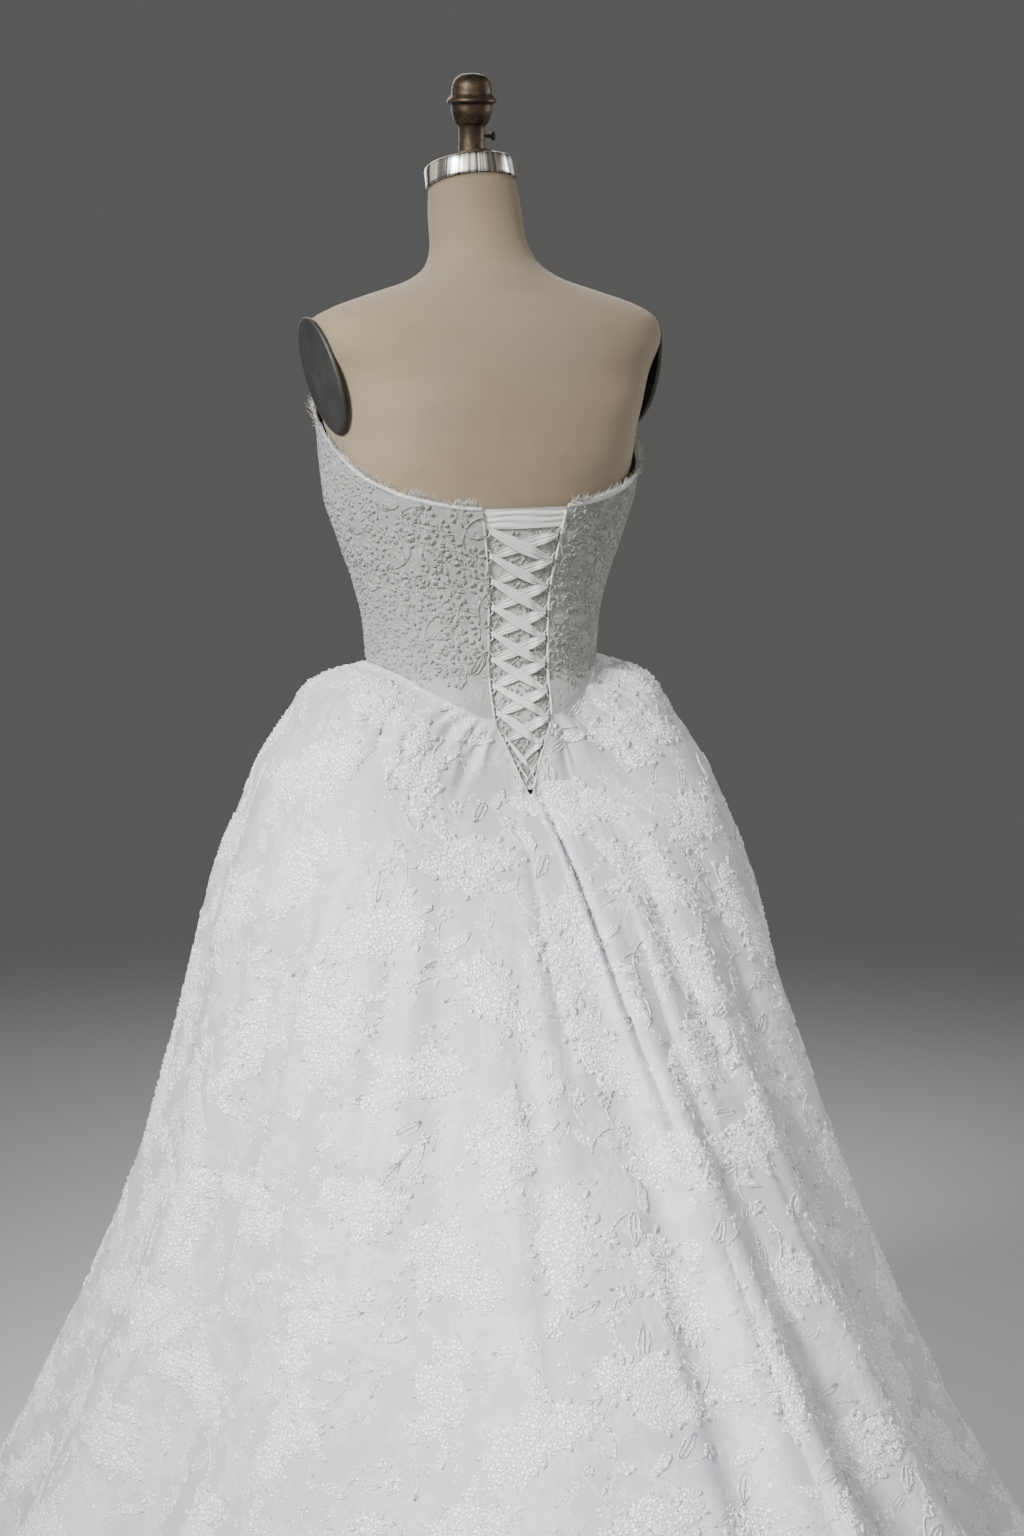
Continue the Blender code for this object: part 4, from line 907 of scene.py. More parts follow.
LOOKS = {
    "skirt_net": net_look("skirt_net", (0.42, 0.43, 0.455), (0.50, 0.51, 0.535), 105.0),
    # The bodice's net and stitching are the skirt's white lace made darker: painted shade for the weaker
    # light that falls on the bodice.
    "bodice_net_painted_shade": net_look("bodice_net_painted_shade", (0.275, 0.27, 0.254), (0.315, 0.31, 0.293), 150.0),
    # the last number of each stitch look sets how dark its painted shade between the curls is
    "skirt_stitch": stitch_look("skirt_stitch", (0.92, 0.925, 0.945), 620.0, 240.0, 0.62),
    "bodice_stitch_painted_shade": stitch_look("bodice_stitch_painted_shade", (0.43, 0.425, 0.402), 760.0, 330.0, 0.86),
    # The panel's stitching is darker than the skirt's white stitching: painted shade for the shadow behind
    # the lacing.
    "panel_stitch_painted_shade": stitch_look("panel_stitch_painted_shade", (0.52, 0.515, 0.485), 700.0, 300.0, 0.74),
    "thread": stitch_look("thread", (0.95, 0.94, 0.915), 900.0, 600.0, 0.92),
    "panel_net": net_look("panel_net", (0.40, 0.395, 0.37), (0.47, 0.465, 0.44), 150.0),
    "ribbon": satin_look("ribbon", (0.66, 0.655, 0.63)),
    "band": satin_look("pleat_band", (0.66, 0.65, 0.615), 0.42),
    "linen": linen_look(),
    "bright_band": band_look(),
    "bronze": bronze_look("bronze", (0.040, 0.029, 0.021), (0.12, 0.080, 0.048), 0.46),
    "screw_bronze": bronze_look("screw_bronze", (0.035, 0.028, 0.024), (0.08, 0.06, 0.045), 0.45),
    "plate": iron_look("plate", (0.050, 0.048, 0.045), 0.52),
    "pole": iron_look("pole_steel", (0.16, 0.16, 0.16), 0.42),
    "iron": iron_look("base_iron", (0.045, 0.045, 0.046), 0.60),
}


# Lace charts: small shapes with x across, y down the cloth, and a height above it


def set_at(x, y, c, s, across, along):
    """A place across and along a heading, whose cosine and sine are given, from (x, y)."""
    return x + across * c + along * s, y - across * s + along * c


def set_off(x, y, turn, reach):
    """The place at a reach from (x, y), towards a turn from down."""
    return x + reach * math.sin(turn), y + reach * math.cos(turn)


class Gathered:
    """Shapes joined into one mesh of points, quads and triangles."""

    def __init__(self):
        self.points = []
        self.quads = [np.zeros((0, 4), np.int64)]
        self.tris = [np.zeros((0, 3), np.int64)]
        self.count = 0

    def add(self, points, quads=(), tris=()):
        self.points.append(np.asarray(points, float))
        if len(quads):
            self.quads.append(np.asarray(quads, np.int64) + self.count)
        if len(tris):
            self.tris.append(np.asarray(tris, np.int64) + self.count)
        self.count += len(points)

    def arrays(self):
        return np.concatenate(self.points), np.concatenate(self.quads), np.concatenate(self.tris)

    def piece(self, name, look, slot):
        points, quads, tris = self.arrays()
        return make_piece(name, points, [quads, tris], look, slot)


class Chart(Gathered):
    """Raised stitching drawn from petals, leaves, stems and knots."""

    def petal(self, x, y, turn, length, width, rise):
        """Cupped petal with a corded rim, from its foot at (x, y) towards a turn from down."""
        sides = PETAL_SIDES
        t = 2.0 * math.pi * (np.arange(sides) + 0.5) / sides
        along = length * (0.5 - 0.5 * np.cos(t))
        across = 0.5 * width * np.sin(t) * (0.62 + 0.38 * along / length)
        tip = along / length
        foot = np.stack((across, along, np.full(sides, -LACE_SUNK)), -1)
        mid = length * 0.56
        rim = np.stack((across * 0.76, mid + (along - mid) * 0.80, rise * (0.55 + 0.45 * tip)), -1)
        heart = np.array([[0.0, mid, rise * 0.22]])
        points = np.concatenate((foot, rim, heart))
        c, s = math.cos(turn), math.sin(turn)
        placed = np.stack((*set_at(x, y, c, s, points[:, 0], points[:, 1]), points[:, 2]), -1)
        i = np.arange(sides)
        n = (i + 1) % sides
        quads = np.stack((i, n, n + sides, i + sides), -1)
        tris = np.stack((i + sides, n + sides, np.full(sides, 2 * sides)), -1)
        self.add(placed, quads, tris)

    def leaf(self, x, y, turn, length, width, rise, rows, bend=0.0, filled=False):
        """Leaf with a corded outline and midrib, open to the net or filled a little lower."""
        low = -LACE_SUNK
        if filled:
            strips = (((-1.0, low), (-0.84, rise), (-0.45, rise * 0.3), (0.0, rise * 0.9), (0.45, rise * 0.3),
                       (0.84, rise), (1.0, low)),)
        else:
            strips = (((-1.0, low), (-0.80, rise), (-0.58, low)), ((-0.13, low), (0.0, rise), (0.13, low)),
                      ((0.58, low), (0.80, rise), (1.0, low)))
        c, s = math.cos(turn), math.sin(turn)
        for profile in strips:
            points = []
            for k in range(rows + 1):
                t = k / rows
                half = 0.5 * width * (math.sin(math.pi * min(1.0, 0.03 + 0.95 * t) ** 0.85) + 0.04)
                half *= 1.0 + LEAF_TEETH * (1.0 if k % 2 else -1.0)
                side = bend * length * math.sin(math.pi * t * 0.5) ** 2
                for share, height in profile:
                    points.append((*set_at(x, y, c, s, side + share * half, length * t), height))
            self.add(points, grid_faces(rows + 1, len(profile)))

    def stem(self, x, y, turn, length, curl):
        """Corded stem that curls steadily; returns places along it."""
        places = []
        points = []
        step = length / STEM_STEPS
        for k in range(STEM_STEPS + 1):
            c, s = math.cos(turn), math.sin(turn)
            thin = STEM_HALF * (1.0 - 0.35 * k / STEM_STEPS)
            points += [
                (x - c * thin, y + s * thin, -LACE_SUNK),
                (x, y, STEM_RISE),
                (x + c * thin, y - s * thin, -LACE_SUNK),
            ]
            places.append((x, y, turn))
            x += s * step
            y += c * step
            turn += curl / STEM_STEPS
        self.add(points, grid_faces(STEM_STEPS + 1, 3))
        return places

    def bead(self, x, y, turn, length, width, rise, base=0.0, sides=5):
        """Small knot of stitching: a dome over a few sides."""
        t = ring_turns(sides)
        across = 0.5 * width * np.cos(t)
        along = 0.5 * length * np.sin(t)
        c, s = math.cos(turn), math.sin(turn)
        ring = np.stack((*set_at(x, y, c, s, across, along), np.full(sides, base - LACE_SUNK)), -1)
        i = np.arange(sides)
        tris = np.stack((i, (i + 1) % sides, np.full(sides, sides)), -1)
        self.add(np.vstack((ring, (x, y, base + rise))), (), tris)

    def floret(self, x, y, size, turn, petals=5):
        for k in range(petals):
            self.petal(x, y, turn + 2.0 * math.pi * k / petals, size * 0.52, size * 0.46, 0.0016)
        self.bead(x, y, 0.0, size * 0.22, size * 0.22, 0.0018)

    def fan(self, rng, x, y, turn, radius, petals, spread):
        """Arc of petals round a foot, with knots in its heart."""
        for k in range(petals):
            at = turn + spread * (2.0 * k / (petals - 1) - 1.0) + rng.uniform(-0.12, 0.12)
            start = radius * rng.uniform(0.30, 0.44)
            self.petal(
                *set_off(x, y, at, start), at + rng.uniform(-0.22, 0.22),
                radius * rng.uniform(0.55, 0.72), radius * rng.uniform(0.36, 0.46), 0.0021,
            )
        for k in range(petals):
            at = turn + spread * 1.1 * (2.0 * (k + 0.5) / petals - 1.0) + rng.uniform(-0.2, 0.2)
            near = radius * rng.uniform(0.12, 0.42)
            self.bead(*set_off(x, y, at, near), at, radius * 0.34, radius * 0.22, 0.0018, 0.0002)

    def ground(self, x, y, tall, edge, sides=26):
        """Low mound that fills an uneven outline."""
        t = ring_turns(sides)
        rings = []
        for share, height in ((1.0, -LACE_SUNK), (0.92, 0.0008), (0.50, 0.0012)):
            rings.append(np.stack((x + edge(t) * share * np.sin(t), y + tall * edge(t) * share * np.cos(t),
                                   np.full(sides, height)), -1))
        i = np.arange(sides)
        quads = grid_faces(3, sides, closed=True)[:, ::-1]
        tris = np.stack(((i + 1) % sides + 2 * sides, i + 2 * sides, np.full(sides, 3 * sides)), -1)
        self.add(np.vstack((*rings, (x, y, 0.0013))), quads, tris[:, ::-1])

    def cluster(self, rng, x, y, radius, knots, petals):
        """Dense cluster of raised knots on its own ground, with small petals round its edge."""
        first, second, third = (rng.uniform(0.0, 6.28) for _ in range(3))
        tall = rng.uniform(1.0, 1.3)

        def edge(t):
            lobes = 1.0 + 0.20 * np.cos(2.0 * t + first) + 0.16 * np.cos(3.0 * t + second)
            return radius * (lobes + 0.09 * np.cos(5.0 * t + third))

        self.ground(x, y, tall, edge)
        for k in range(knots):
            r = 0.94 * math.sqrt((k + 0.6) / knots)
            a = GOLDEN_TURN * k + rng.uniform(-0.3, 0.3)
            reach = float(edge(a)) * r
            size = rng.uniform(*KNOT_SIZES)
            self.bead(
                x + reach * math.sin(a), y + tall * reach * math.cos(a), rng.uniform(0.0, 6.28),
                size, size * 0.60, rng.uniform(*KNOT_RISES), 0.0009 - 0.0003 * r,
            )
        for k in range(petals):
            a = 2.0 * math.pi * (k + rng.uniform(-0.4, 0.4)) / petals
            reach = float(edge(a)) * rng.uniform(0.80, 0.96)
            size = rng.uniform(*EDGE_PETAL_SIZES)
            self.petal(x + reach * math.sin(a), y + tall * reach * math.cos(a), a + rng.uniform(-0.7, 0.7),
                       size, size * rng.uniform(0.5, 0.75), 0.0022)


def bloom_chart(seed):
    rng = random.Random(seed)
    chart = Chart()
    radius = 0.025 * rng.uniform(0.90, 1.10)
    side = 1.0 if seed % 2 else -1.0
    chart.cluster(rng, 0.0, 0.0, radius, 52, 11)
    chart.cluster(rng, 0.022 * side, -0.024, radius * 0.66, 24, 7)
    chart.cluster(rng, -0.018 * side, 0.028, radius * rng.uniform(0.55, 0.75), 22, 7)
    if seed % 3 == 1:
        chart.cluster(rng, 0.030 * side, 0.012, radius * 0.45, 12, 5)
    for turn in (2.55 * side, 3.55 * side)[seed % 3 == 0:]:
        at = turn + rng.uniform(-0.2, 0.2)
        chart.leaf(
            1.00 * radius * math.sin(at), 1.10 * radius * math.cos(at), at,
            radius * rng.uniform(1.0, 1.20), radius * rng.uniform(0.48, 0.58), 0.0016, 7,
            rng.uniform(-0.25, 0.25), rng.random() < 0.3,
        )
    places = chart.stem(0.0, -1.0 * radius, math.pi - 0.35 * side, 0.070, 1.6 * side)
    x, y, turn = places[-1]
    chart.floret(x, y, 0.014, turn)
    x, y, turn = places[5]
    chart.petal(x, y, turn + 1.2 * side, 0.012, 0.0060, 0.0010)
    x, y, turn = places[3]
    chart.petal(x, y, turn - 1.0 * side, 0.010, 0.0055, 0.0010)
    return chart.arrays()


def sprig_chart(seed):
    rng = random.Random(seed)
    chart = Chart()
    side = 1.0 if seed % 2 else -1.0
    places = chart.stem(0.0, -0.026, 0.5 * side, 0.060, -1.9 * side)
    x, y, turn = places[-1]
    chart.floret(x, y, 0.017 * rng.uniform(0.9, 1.15), turn)
    for k, way, long in ((1, 1.0, 0.026), (3, -1.1, 0.030)):
        x, y, turn = places[k]
        chart.leaf(x, y, turn + way * side, long * rng.uniform(0.85, 1.15), 0.0135, 0.0015, 5,
                   rng.uniform(-0.3, 0.3), rng.random() < 0.4)
    x, y, turn = places[5]
    for k in range(5):
        at = turn + 2.1 * side + 0.42 * k
        chart.bead(*set_off(x, y, at, 0.006), at, 0.0060, 0.0036, 0.0011)
    return chart.arrays()


def fill_chart(seed):
    rng = random.Random(seed)
    chart = Chart()
    count = 5 + seed % 2
    for k in range(count):
        at = 2.0 * math.pi * k / count + rng.uniform(-0.15, 0.15)
        chart.bead(*set_off(0.0, 0.0, at, 0.0042), at, 0.0072, 0.0046, 0.0012, 0.0, 6)
    turn = rng.uniform(0.0, 6.28)
    long = rng.uniform(0.017, 0.023)
    chart.leaf(*set_off(0.0, 0.0, turn, 0.006), turn, long, 0.0100, 0.0009, 4)
    for k in range(4):
        at = turn + 2.2 + 0.5 * k
        chart.bead(*set_off(0.0, 0.0, at, 0.010 + 0.002 * k), at, 0.0050, 0.0030, 0.0010)
    return chart.arrays()


def fan_chart(seed):
    """Small fan of the bodice's dense lace."""
    rng = random.Random(seed)
    chart = Chart()
    radius = 0.0135 * rng.uniform(0.9, 1.1)
    chart.fan(rng, 0.0, 0.0, 0.0, radius, 7, 2.4)
    for k in range(9):
        a = 0.7 * k + rng.uniform(-0.3, 0.3)
        near = radius * rng.uniform(0.5, 1.0)
        chart.bead(near * math.cos(a), -0.35 * radius + near * math.sin(a), a, 0.0036, 0.0026, 0.0011)
    return chart.arrays()


def turned_chart(chart, turn, scale, flip):
    """Chart points turned, sized and mirrored in their own plane."""
    points = chart[0].copy()
    if flip:
        points[:, 0] *= -1.0
    c, s = math.cos(turn) * scale, math.sin(turn) * scale
    return (*set_at(0.0, 0.0, c, s, points[:, 0], points[:, 1]), points[:, 2])


def turned_faces(chart, flip):
    quads, tris = chart[1], chart[2]
    if not flip:
        return quads[:, ::-1], tris[:, ::-1]
    return quads, tris


def scatter(candidates, spacing, taken, taken_reach):
    """Candidates kept so that none is closer than a spacing to another or a reach to the taken."""
    kept = []
    places = np.zeros((0, 3))
    for index, place in candidates:
        if len(places) and np.min(np.sum((places - place) ** 2, -1)) < spacing * spacing:
            continue
        if len(taken) and np.min(np.sum((taken - place) ** 2, -1)) < taken_reach * taken_reach:
            continue
        kept.append(index)
        places = np.vstack((places, place))
    return kept, places


# Skirt


def skirt_columns():
    """Angles of the skirt's columns: close behind, where it is seen, and at the gores' seams."""
    columns = []
    for name, first, last in GORES:
        behind = name.startswith(("skirt_back", "skirt_side_back"))
        step = COLUMN_BEHIND if behind else COLUMN_ELSEWHERE
        count = int(math.ceil((last - first) / step))
        columns += [first + (last - first) * k / count for k in range(count)]
    return np.array(columns + [360.0])


def skirt_rows():
    """Shares of the skirt's rows, closer at the waist."""
    upper = UPPER_SHARE * (np.arange(SKIRT_UPPER_ROWS) / SKIRT_UPPER_ROWS) ** 1.15
    return np.concatenate((upper, np.linspace(UPPER_SHARE, 1.0, SKIRT_LOWER_ROWS)))


def gathers():
    """Short uneven gathers under the waist seam, as rows like those of the creases."""
    rng = random.Random(GATHER_SEED)
    rows = []
    angle = GATHER_FIRST
    while angle < 360.0 - GATHER_FIRST:
        deep = rng.uniform(*GATHER_DEPTHS)
        long = rng.uniform(*GATHER_LENGTHS)
        fan = wrap(angle) * 0.035
        rows.append((angle, 0.004, angle + fan + rng.uniform(-1.5, 1.5), long, 0.0,
                     rng.uniform(*GATHER_HALVES), -deep if rng.random() < 0.62 else deep))
        angle += rng.uniform(*GATHER_STEPS)
    return rows


def side_creases():
    """Soft creases of the hidden front and sides, like those of the back."""
    rng = random.Random(GATHER_SEED + 1)
    rows = []
    angle = 66.0
    while angle < 296.0:
        start = rng.uniform(0.05, 0.30)
        rows.append((angle, start, angle + rng.uniform(-3.0, 3.0), start + rng.uniform(0.25, 0.55),
                     rng.uniform(-1.0, 1.0), rng.uniform(0.012, 0.022),
                     rng.choice((-1.0, -1.0, 1.0)) * rng.uniform(0.0025, 0.0045)))
        angle += rng.uniform(5.0, 11.0)
    return rows


def crease_height(angle, share, per_degree):
    total = np.zeros(angle.shape)
    for a0, s0, a1, s1, bow, half, height in (*CREASE_ROWS, *gathers(), *side_creases()):
        t = (share - s0) / (s1 - s0)
        centre = a0 + (a1 - a0) * t + bow * 4.0 * t * (1.0 - t)
        off = wrap(angle - centre) * per_degree / half
        near = (t > 0.0) & (t < 1.0) & (np.abs(off) < CREASE_REACH)
        fade = np.sin(math.pi * np.clip(t, 0.0, 1.0) ** 0.7)
        total += np.where(near, height * fade * np.exp(-off * off), 0.0)
    return total


class SkirtCloth:
    """The skirt's cloth as a grid over angle and the share between its start and the hem."""

    def __init__(self):
        self.angles = skirt_columns()
        self.rows = skirt_rows()
        angle, v = np.meshgrid(self.angles, self.rows)
        self.begin = skirt_start(self.angles)
        self.begin[-1] = self.begin[0]
        share = self.begin[None, :] + (1.0 - self.begin[None, :]) * v
        plain = skirt_base(angle, share)
        first = skirt_points(angle, share)
        first[:, -1] = first[:, 0]
        per_degree = np.linalg.norm(np.gradient(plain, axis=1), axis=-1) / np.gradient(self.angles)
        normals = grid_normals(first, True)
        height = crease_height(wrap(angle), share, per_degree)
        floor_fade = ease(first[..., 2] / 0.05)
        self.points = first + normals * (height * floor_fade)[..., None]
        self.points[:, -1] = self.points[:, 0]
        self.normals = grid_normals(self.points, True)
        self.set_scales()

    def set_scales(self):
        """Metres per degree and per share of the unfolded skirt, and how far they lean."""
        self.shares = np.concatenate((np.linspace(0.0, 0.05, 13)[:-1], np.linspace(0.05, 1.0, 64)))
        plain = skirt_base(*np.meshgrid(self.angles, self.shares))
        round_way = np.gradient(plain, axis=1) / np.gradient(self.angles)[None, :, None]
        down_way = np.gradient(plain, axis=0) / np.gradient(self.shares)[:, None, None]
        size = np.linalg.norm(round_way, axis=-1)
        unit = round_way / size[..., None]
        lean = np.sum(down_way * unit, -1)
        down = np.linalg.norm(down_way - unit * lean[..., None], axis=-1)
        self.scales = np.stack((size, lean, down), -1)

    def row_at(self, angle, share):
        """Place between the cloth's upper edge and its hem, for a share of the whole skirt."""
        begin = np.interp(angle % 360.0, self.angles, self.begin)
        return (share - begin) / (1.0 - begin)

    def read(self, values, rows, angle, v):
        """Values kept on a grid of the columns' angles and some rows, read between its points."""
        angle = angle % 360.0
        v = np.clip(v, 0.0, 1.0)
        i = np.clip(np.searchsorted(self.angles, angle, side="right") - 1, 0, len(self.angles) - 2)
        j = np.clip(np.searchsorted(rows, v, side="right") - 1, 0, len(rows) - 2)
        a = ((angle - self.angles[i]) / (self.angles[i + 1] - self.angles[i]))[..., None]
        b = ((v - rows[j]) / (rows[j + 1] - rows[j]))[..., None]
        upper = values[j, i] * (1.0 - a) + values[j, i + 1] * a
        lower = values[j + 1, i] * (1.0 - a) + values[j + 1, i + 1] * a
        return upper * (1.0 - b) + lower * b

    def lay(self, x, y, height, angle, share):
        """Chart points laid on the cloth round a place, and which of them lie within its edges."""
        at_a = np.full(x.shape, angle)
        at_s = np.full(x.shape, share)
        for _ in range(3):
            scales = self.read(self.scales, self.shares, 0.5 * (angle + at_a), 0.5 * (share + at_s))
            size, lean, down = scales[..., 0], scales[..., 1], scales[..., 2]
            at_a, at_s = angle + (x - y / down * lean) / size, share + y / down
        at_v = self.row_at(at_a, at_s)
        inside = (at_v > 0.0006) & (at_v < 0.9990)
        points = self.read(self.points, self.rows, at_a, at_v)
        normals = self.read(self.normals, self.rows, at_a, at_v)
        return points + normals * (height + OUTER)[..., None], inside


def gore_of(angle):
    for name, first, last in GORES:
        if first <= angle % 360.0 < last:
            return name
    return GORES[0][0]


def skirt_candidates(cloth, rng, count):
    """Random places spread evenly over the skirt's area: angles, shares, row shares and points."""
    most = float((cloth.scales[..., 0] * cloth.scales[..., 2]).max())
    tries = np.array([(rng.uniform(0.0, 360.0), rng.random(), rng.random()) for _ in range(count)])
    here = cloth.read(cloth.scales, cloth.shares, tries[:, 0], tries[:, 1])
    v = cloth.row_at(tries[:, 0], tries[:, 1])
    kept = (tries[:, 2] * most < here[:, 0] * here[:, 2]) & (v > 0.0)
    angles, shares, v = tries[kept, 0], tries[kept, 1], v[kept]
    return angles, shares, v, cloth.read(cloth.points, cloth.rows, angles, v)


def add_skirt_lace(cloth, sheets):
    """Blooms, sprigs and small flowers over the skirt, one joined mesh for each gore."""
    rng = random.Random(SKIRT_LACE_SEED)
    blooms = [bloom_chart(seed) for seed in range(6)]
    sprigs = [sprig_chart(seed) for seed in range(6)]
    fills = [fill_chart(seed) for seed in range(5)]
    angles, shares, v, spots = skirt_candidates(cloth, rng, SKIRT_TRIES)
    down_length = lengths_along(cloth.points, 0)[..., None]
    above = cloth.read(down_length, cloth.rows, angles, v)[:, 0]
    below = cloth.read(down_length, cloth.rows, angles, np.ones(len(v)))[:, 0] - above
    joined = {name: Gathered() for name in sheets}
    taken = np.zeros((0, 3))
    # Charts, spacing, distance from those before, margin at the edges, spread of turns, lowest share
    passes = (
        (blooms, 0.098, 0.0, 0.020, 1.5, 0.985),
        (sprigs, 0.060, 0.062, 0.010, 3.14, 0.99),
        (fills, 0.031, 0.038, 0.004, 3.14, 0.995),
    )
    for charts, spacing, reach, margin, spread, lowest in passes:
        fits = np.flatnonzero((above > margin) & (below > margin * 0.9) & (shares < lowest))
        options = [((angles[k], shares[k]), spots[k]) for k in fits]
        kept, places = scatter(options, spacing, taken, reach)
        taken = np.vstack((taken, places))
        for angle, share in kept:
            chart = rng.choice(charts)
            flip = rng.random() < 0.5
            turn = rng.uniform(-spread, spread)
            scale = rng.uniform(0.90, 1.12)
            x, y, height = turned_chart(chart, turn, scale, flip)
            points, inside = cloth.lay(x, y, height, angle, share)
            quads, tris = turned_faces(chart, flip)
            joined[gore_of(angle)].add(points, quads[inside[quads].all(-1)], tris[inside[tris].all(-1)])
    for name, gathered in joined.items():
        lace = gathered.piece(name + "_lace", LOOKS["skirt_stitch"], "skirt_lace")
        sheets[name].append(lace)


def add_skirt():
    cloth = SkirtCloth()
    sheets = {}
    for name, first, last in GORES:
        cols = np.flatnonzero((cloth.angles >= first - 1e-9) & (cloth.angles <= last + 1e-9))
        item, said = cloth_piece(
            name, cloth.points[:, cols], cloth.normals[:, cols], LOOKS["skirt_net"], "skirt_lace",
            "hung", ["form_torso"],
        )
        sheets[name] = []
    add_skirt_lace(cloth, sheets)


# Bodice


def bodice_panel(first, last, meets_gap, cols, rows):
    """Angles and levels of a bodice panel's grid."""
    u, v = np.meshgrid(np.linspace(0.0, 1.0, cols), np.linspace(0.0, 1.0, rows))
    angle = first + (last - first) * u
    if meets_gap:
        side = 1.0 if last + first > 0.0 else -1.0
        for _ in range(4):
            low = seam_level(angle)
            level = low + (top_level(angle) - low) * v
            edge = gap_angle(level) * side
            angle = edge + (last - edge) * u if side > 0.0 else first + (edge - first) * u
    low = seam_level(angle)
    level = low + (top_level(angle) - low) * v
    return angle, level


def bodice_frame(angle, level):
    """Points of the bodice's middle surface and their outward normals."""
    points = bodice_points(angle, level)
    across = bodice_points(angle + 0.2, level) - bodice_points(angle - 0.2, level)
    up = bodice_points(angle, level + 0.0006) - bodice_points(angle, level - 0.0006)
    return points, unit(np.cross(up, across))


BODICE_PANELS = (
    ("bodice_centre_back_left", 14.0, BODICE_SEAMS[0], True),
    ("bodice_side_back_left", BODICE_SEAMS[0], BODICE_SEAMS[1], False),
    ("bodice_side_front_left", BODICE_SEAMS[1], BODICE_SEAMS[2], False),
    ("bodice_centre_front", BODICE_SEAMS[2], 360.0 - BODICE_SEAMS[2], False),
    ("bodice_side_front_right", -BODICE_SEAMS[2], -BODICE_SEAMS[1], False),
    ("bodice_side_back_right", -BODICE_SEAMS[1], -BODICE_SEAMS[0], False),
    ("bodice_centre_back_right", -BODICE_SEAMS[0], -14.0, True),
)


def lay_on_bodice(x, y, height, angle, level):
    """Chart points laid on the bodice round a place."""
    a = np.full(x.shape, angle)
    z = np.full(x.shape, level)
    per_degree = np.linalg.norm(bodice_points(angle + 0.5, level) - bodice_points(angle - 0.5, level))
    rise = bodice_points(angle, level + 0.005) - bodice_points(angle, level - 0.005)
    per_level = np.linalg.norm(rise) / 0.01
    a = a + x / per_degree
    z = z - y / per_level
    z = np.clip(z, seam_level(a) + 0.0012, top_level(a) - 0.0012)
    side = np.abs(wrap(a))
    edge = gap_angle(z)
    a = np.where(side < edge, np.copysign(edge, wrap(np.full(a.shape, angle))), a)
    points, normals = bodice_frame(a, z)
    return points + normals * (height + OUTER)[..., None]


def add_bodice():
    rng = random.Random(BODICE_LACE_SEED)
    facts = {}
    lace = {}
    for name, first, last, meets in BODICE_PANELS:
        cols = int(abs(last - first) / PANEL_COLUMN) + 2
        angle, level = bodice_panel(first, last, meets, cols, PANEL_ROWS)
        points, normals = bodice_frame(angle, level)
        item, said = cloth_piece(
            name, points[::-1], normals[::-1], LOOKS["bodice_net_painted_shade"], "bodice_lace", "stretched",
            ["form_torso"],
        )
        facts[name] = (item, said)
        lace[name] = Gathered()
    fans = [fan_chart(seed) for seed in range(7)]
    sprigs = [sprig_chart(seed) for seed in range(10, 14)]
    tries = np.array([(rng.uniform(-180.0, 180.0), rng.uniform(1.03, 1.36)) for _ in range(BODICE_TRIES)])
    low = np.maximum(seam_level(tries[:, 0]) + 0.004, PLAIN_WAIST + 0.006 * np.sin(tries[:, 0] * 0.9))
    fits = (low < tries[:, 1]) & (tries[:, 1] < top_level(tries[:, 0]) - 0.006)
    tries = tries[fits & (np.abs(tries[:, 0]) > gap_angle(tries[:, 1]) + 1.6)]
    options = list(zip(tries.tolist(), bodice_points(tries[:, 0], tries[:, 1])))
    kept, places = scatter(options, BODICE_SPRIG_SPACING, np.zeros((0, 3)), 0.0)
    more = scatter(options, FAN_SPACING, places, FAN_FROM_SPRIG)[0]
    for group, charts, size in ((kept, sprigs, 0.86), (more, fans, 0.88)):
        for angle, level in group:
            chart = rng.choice(charts)
            flip = rng.random() < 0.5
            x, y, height = turned_chart(chart, rng.uniform(0.0, 6.28), size * rng.uniform(0.88, 1.12), flip)
            points = lay_on_bodice(x, y, height, angle, level)
            quads, tris = turned_faces(chart, flip)
            for name, first, last, meets in BODICE_PANELS:
                low = first if not meets or first < 0.0 else 0.0
                high = last if not meets or last > 0.0 else 0.0
                if low <= angle < high or low <= angle + 360.0 < high:
                    lace[name].add(points, quads, tris)
                    break
    for name, (item, said) in facts.items():
        piece = lace[name].piece(name + "_lace", LOOKS["bodice_stitch_painted_shade"], "bodice_lace")


# Tubes, edges and lacing


def tube(path, radii, sides=8, flat=1.0, up=(0.0, 0.0, 1.0)):
    """Points and quads of a closed tube along a path; flat squeezes it across the up way."""
    path = np.asarray(path, float)
    way = unit(np.gradient(path, axis=0))
    up = np.broadcast_to(np.asarray(up, float), path.shape)
    side = np.cross(way, up)
    side /= np.maximum(np.linalg.norm(side, axis=-1, keepdims=True), 1e-9)
    top = np.cross(side, way)
    t = ring_turns(sides)
    radii = np.broadcast_to(np.asarray(radii, float), (len(path),))
    rings = (
        path[:, None]
        + side[:, None] * (np.cos(t)[None, :, None] * radii[:, None, None] * flat)
        + top[:, None] * (np.sin(t)[None, :, None] * radii[:, None, None])
    )
    quads = grid_faces(len(path), sides, closed=True)
    count = len(path) * sides
    points = np.concatenate((rings.reshape(-1, 3), path[:1], path[-1:]))
    i = np.arange(sides)
    n = (i + 1) % sides
    first = np.stack((n, i, np.full(sides, count)), -1)
    last = np.stack((i, n, np.full(sides, -sides)), -1) + (count - sides)
    last[:, 2] = count + 1
    return points, quads, np.concatenate((first, last))


